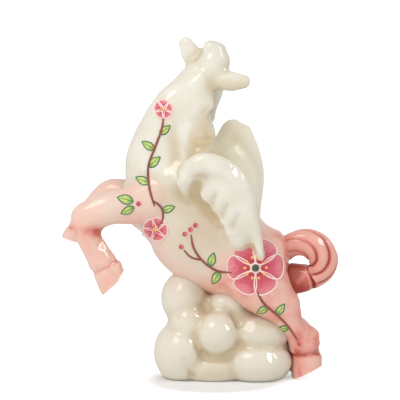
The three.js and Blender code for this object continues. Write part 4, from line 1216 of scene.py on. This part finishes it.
# %% One enamel for each colour
ENAMELS = {
    "petal": ("enamel_rose_pink", [(0.1, "#B83A4C"), (0.55, "#D0596A"), (0.95, "#E58C93")]),
    "petal_line": ("slip_pale_pink", [(0.2, "#FBDDD6"), (0.8, "#F7CFC8")]),
    "leaf": ("enamel_yellow_green", [(0.1, "#8DB45C"), (0.5, "#D3D77C"), (0.95, "#A9C56A")]),
    "leaf_line": ("slip_dark_green", [(0.2, "#3E7850"), (0.8, "#4C8A5E")]),
    "stem": ("slip_red_brown", [(0.2, "#8A4639"), (0.8, "#A05546")]),
    "stamen": ("enamel_orange", [(0.2, "#F2A552"), (0.8, "#F6BE72")]),
    "eye": ("enamel_dark_brown", [(0.2, "#24130F"), (0.8, "#3A211A")]),
}
for colour_name, (material_name, stops) in ENAMELS.items():
    enamel = new_material(material_name)
    part_value = add(enamel, "Attribute", {"attribute_name": "part"})
    streaks = noise(enamel, 1.5, 3.0)
    brushed = add(enamel, "Math", {"operation": "MULTIPLY_ADD", 1: 0.5},
                  {0: (streaks, "Fac"), 2: (part_value, "Fac")})
    brushed = add(enamel, "Math", {"operation": "SUBTRACT", 1: 0.25}, {0: (brushed, "Value")})
    colour = coloured(enamel, brushed, "Value", stops)
    shiny(enamel, {"IOR": 1.5}, colour, "Color", streaks, (0.1, 0.22))
    decoration[colour_name].data.materials.append(enamel)
print(len(ENAMELS), "enamels")

# %% [markdown]
# ## The green stones
# A small cut glass stone sits on each haunch in a rim of slip. The solids already have the right shape, with
# flat facets, so they stay and only get their finish: deep green glass with slightly uneven colour, and pale
# glazed slip round it.

# %% Stone and rim
stone = new_material("cut_glass_green_polished")
colour = coloured(stone, noise(stone, 1.2, 2.0), "Fac", [(0.3, "#0B3A26"), (0.7, "#1E6B45")])
shiny(stone, {"IOR": 1.55, "Roughness": 0.03, "Coat Weight": 0.5, "Coat Roughness": 0.02}, colour, "Color")
rim = new_material("slip_rim_pale_glazed")
colour = coloured(rim, noise(rim, 1.5, 3.0), "Fac", [(0.3, "#F3DDD2"), (0.7, "#F8EAE2")])
shiny(rim, {"IOR": 1.5, "Roughness": 0.12}, colour, "Color")
for side in ("near", "far"):
    for node_name, finish in ((side + "_crystal", stone), (side + "_crystal_collar", rim)):
        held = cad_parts[node_name].data.materials
        held.clear()
        held.append(finish)
print("stones and rims finished")

# %% [markdown]
# ## Floor, light and camera
# The figure stands on white paper in soft studio light. One large softbox high on the left gives the bright
# window on the shoulder, a narrower one on the right streaks the puffs and legs, and the white room fills the
# rest. Three dim bounce cards lift the front, the foot and the left edge. Away from the shadow, the paper adds
# a little of its own white for the camera, so it reads as white and keeps the shadow.

# %% White paper
HALF_PAPER = 4  # metres, as are the sizes of the shadow's footprint
SHADOW_CENTRE, SHADOW_HALF = np.array((0.00792, -0.02006, 0)), np.array((0.036, 0.034, 1))
paper_mesh = bpy.data.meshes.new("white_paper")
corners = [(HALF_PAPER * a, HALF_PAPER * b, 0) for a, b in ((-1, -1), (1, -1), (1, 1), (-1, 1))]
paper_mesh.from_pydata(corners, [], [(0, 1, 2, 3)])
paper = bpy.data.objects.new("white_paper", paper_mesh)
bpy.context.scene.collection.objects.link(paper)
paper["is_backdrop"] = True
paper_finish = new_material("paper_white_matt")
ray = add(paper_finish, "LightPath")
tone = coloured(paper_finish, noise(paper_finish, 16, 2.0), "Fac", [(0.3, "#F3F3F3"), (0.7, "#F5F5F5")])
matt = add(paper_finish, "BsdfDiffuse", None, {"Color": (tone, "Color")})
where = add(paper_finish, "TexCoord")
footprint = add(paper_finish, "Mapping", {"Location": -SHADOW_CENTRE / SHADOW_HALF, "Scale": 1 / SHADOW_HALF},
                {"Vector": (where, "Object")})
away = add(paper_finish, "VectorMath", {"operation": "LENGTH"}, {0: (footprint, "Vector")})
lift = add(paper_finish, "MapRange", {"From Min": 0.8, "From Max": 1.25, "To Min": 0.0, "To Max": 0.7},
           {"Value": (away, "Value")})
seen = add(paper_finish, "Math", {"operation": "MULTIPLY"}, {0: (ray, "Is Camera Ray"), 1: (lift, "Result")})
glow = add(paper_finish, "Emission", None, {"Strength": (seen, "Value")})
both = add(paper_finish, "AddShader", None, {0: (matt, "BSDF"), 1: (glow, "Emission")})
add(paper_finish, "OutputMaterial", None, {"Surface": (both, "Shader")})
paper_mesh.materials.append(paper_finish)
print(paper_finish.name, "has", len(paper_finish.node_tree.nodes), "nodes")

# %% White room
ROOM_LIGHT = 0.62
world = bpy.data.worlds.new("white_room")
bpy.context.scene.world = world
world.use_nodes = True
world.node_tree.nodes.clear()
ray = add(world, "LightPath")
direct = add(world, "Math", {"operation": "ADD"}, {0: (ray, "Is Camera Ray"), 1: (ray, "Is Glossy Ray")})
direct = add(world, "Math", {"operation": "ADD"}, {0: (direct, "Value"), 1: (ray, "Is Transmission Ray")})
level = add(world, "MapRange", {"To Min": ROOM_LIGHT, "To Max": 1.0}, {"Value": (direct, "Value")})
room = add(world, "Background", None, {"Strength": (level, "Result")})
add(world, "OutputWorld", None, {"Surface": (room, "Background")})
print("room light", ROOM_LIGHT)

# %% Softboxes
TARGET = Vector(to_frame((0, 0, 88.7)))
SOFTBOXES = {  # direction, then distance, width and height in metres, and watts
    "left_softbox": ((-0.43, -0.42, 0.8), 1.1, 0.5, 0.5, 3.3),
    "right_strip": ((0.72, -0.3, 0.62), 1.1, 0.13, 0.36, 2.0),
}
BOUNCE_CARDS = {
    "front_fill": ((0.3, -1, 0.75), 1.2, 0.7, 0.5, 1.5),
    "low_fill": ((-0.55, -0.8, 0.06), 1.1, 0.7, 0.3, 2.6),
    "edge_fill": ((-1, 0.1, 0.04), 1.1, 0.7, 0.5, 1.1),
}


def softbox(name, direction, distance, width, height, watts):
    lamp = bpy.data.lights.new(name, "AREA")
    lamp.shape, lamp.size, lamp.size_y, lamp.energy = "RECTANGLE", width, height, watts
    box = bpy.data.objects.new(name, lamp)
    bpy.context.scene.collection.objects.link(box)
    box.location = TARGET + Vector(direction).normalized() * distance
    box.rotation_euler = (TARGET - box.location).to_track_quat("-Z", "Y").to_euler()
    return box


for name, settings in {**SOFTBOXES, **BOUNCE_CARDS}.items():
    box = softbox(name, *settings)
    box.visible_glossy = name in SOFTBOXES  # a bounce card is too dim to mirror in the glaze
print(len(SOFTBOXES), "softboxes and", len(BOUNCE_CARDS), "bounce cards")

# %% Camera
CAMERA_TILT, CAMERA_DISTANCE, FIELD, SENSOR = math.radians(7), 1.5, 0.2, 36
camera = bpy.data.objects.new("camera", bpy.data.cameras.new("camera"))
bpy.context.scene.collection.objects.link(camera)
camera.location = TARGET + Vector((0, -math.cos(CAMERA_TILT), math.sin(CAMERA_TILT))) * CAMERA_DISTANCE
camera.rotation_euler = (math.pi / 2 - CAMERA_TILT, 0, 0)
camera.data.sensor_width = SENSOR
camera.data.lens = SENSOR * CAMERA_DISTANCE / FIELD
bpy.context.scene.camera = camera
bpy.context.scene.view_settings.view_transform = "Standard"
print("lens", round(camera.data.lens), "mm")

# %% [markdown]
# ## Size
# The fired skin is kept inside the box of the solids. We print both boxes and finish.

# %% Write the sizes
low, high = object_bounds()
print("visual box in mm:", [round((b - a) * 1000, 1) for a, b in zip(low, high)])
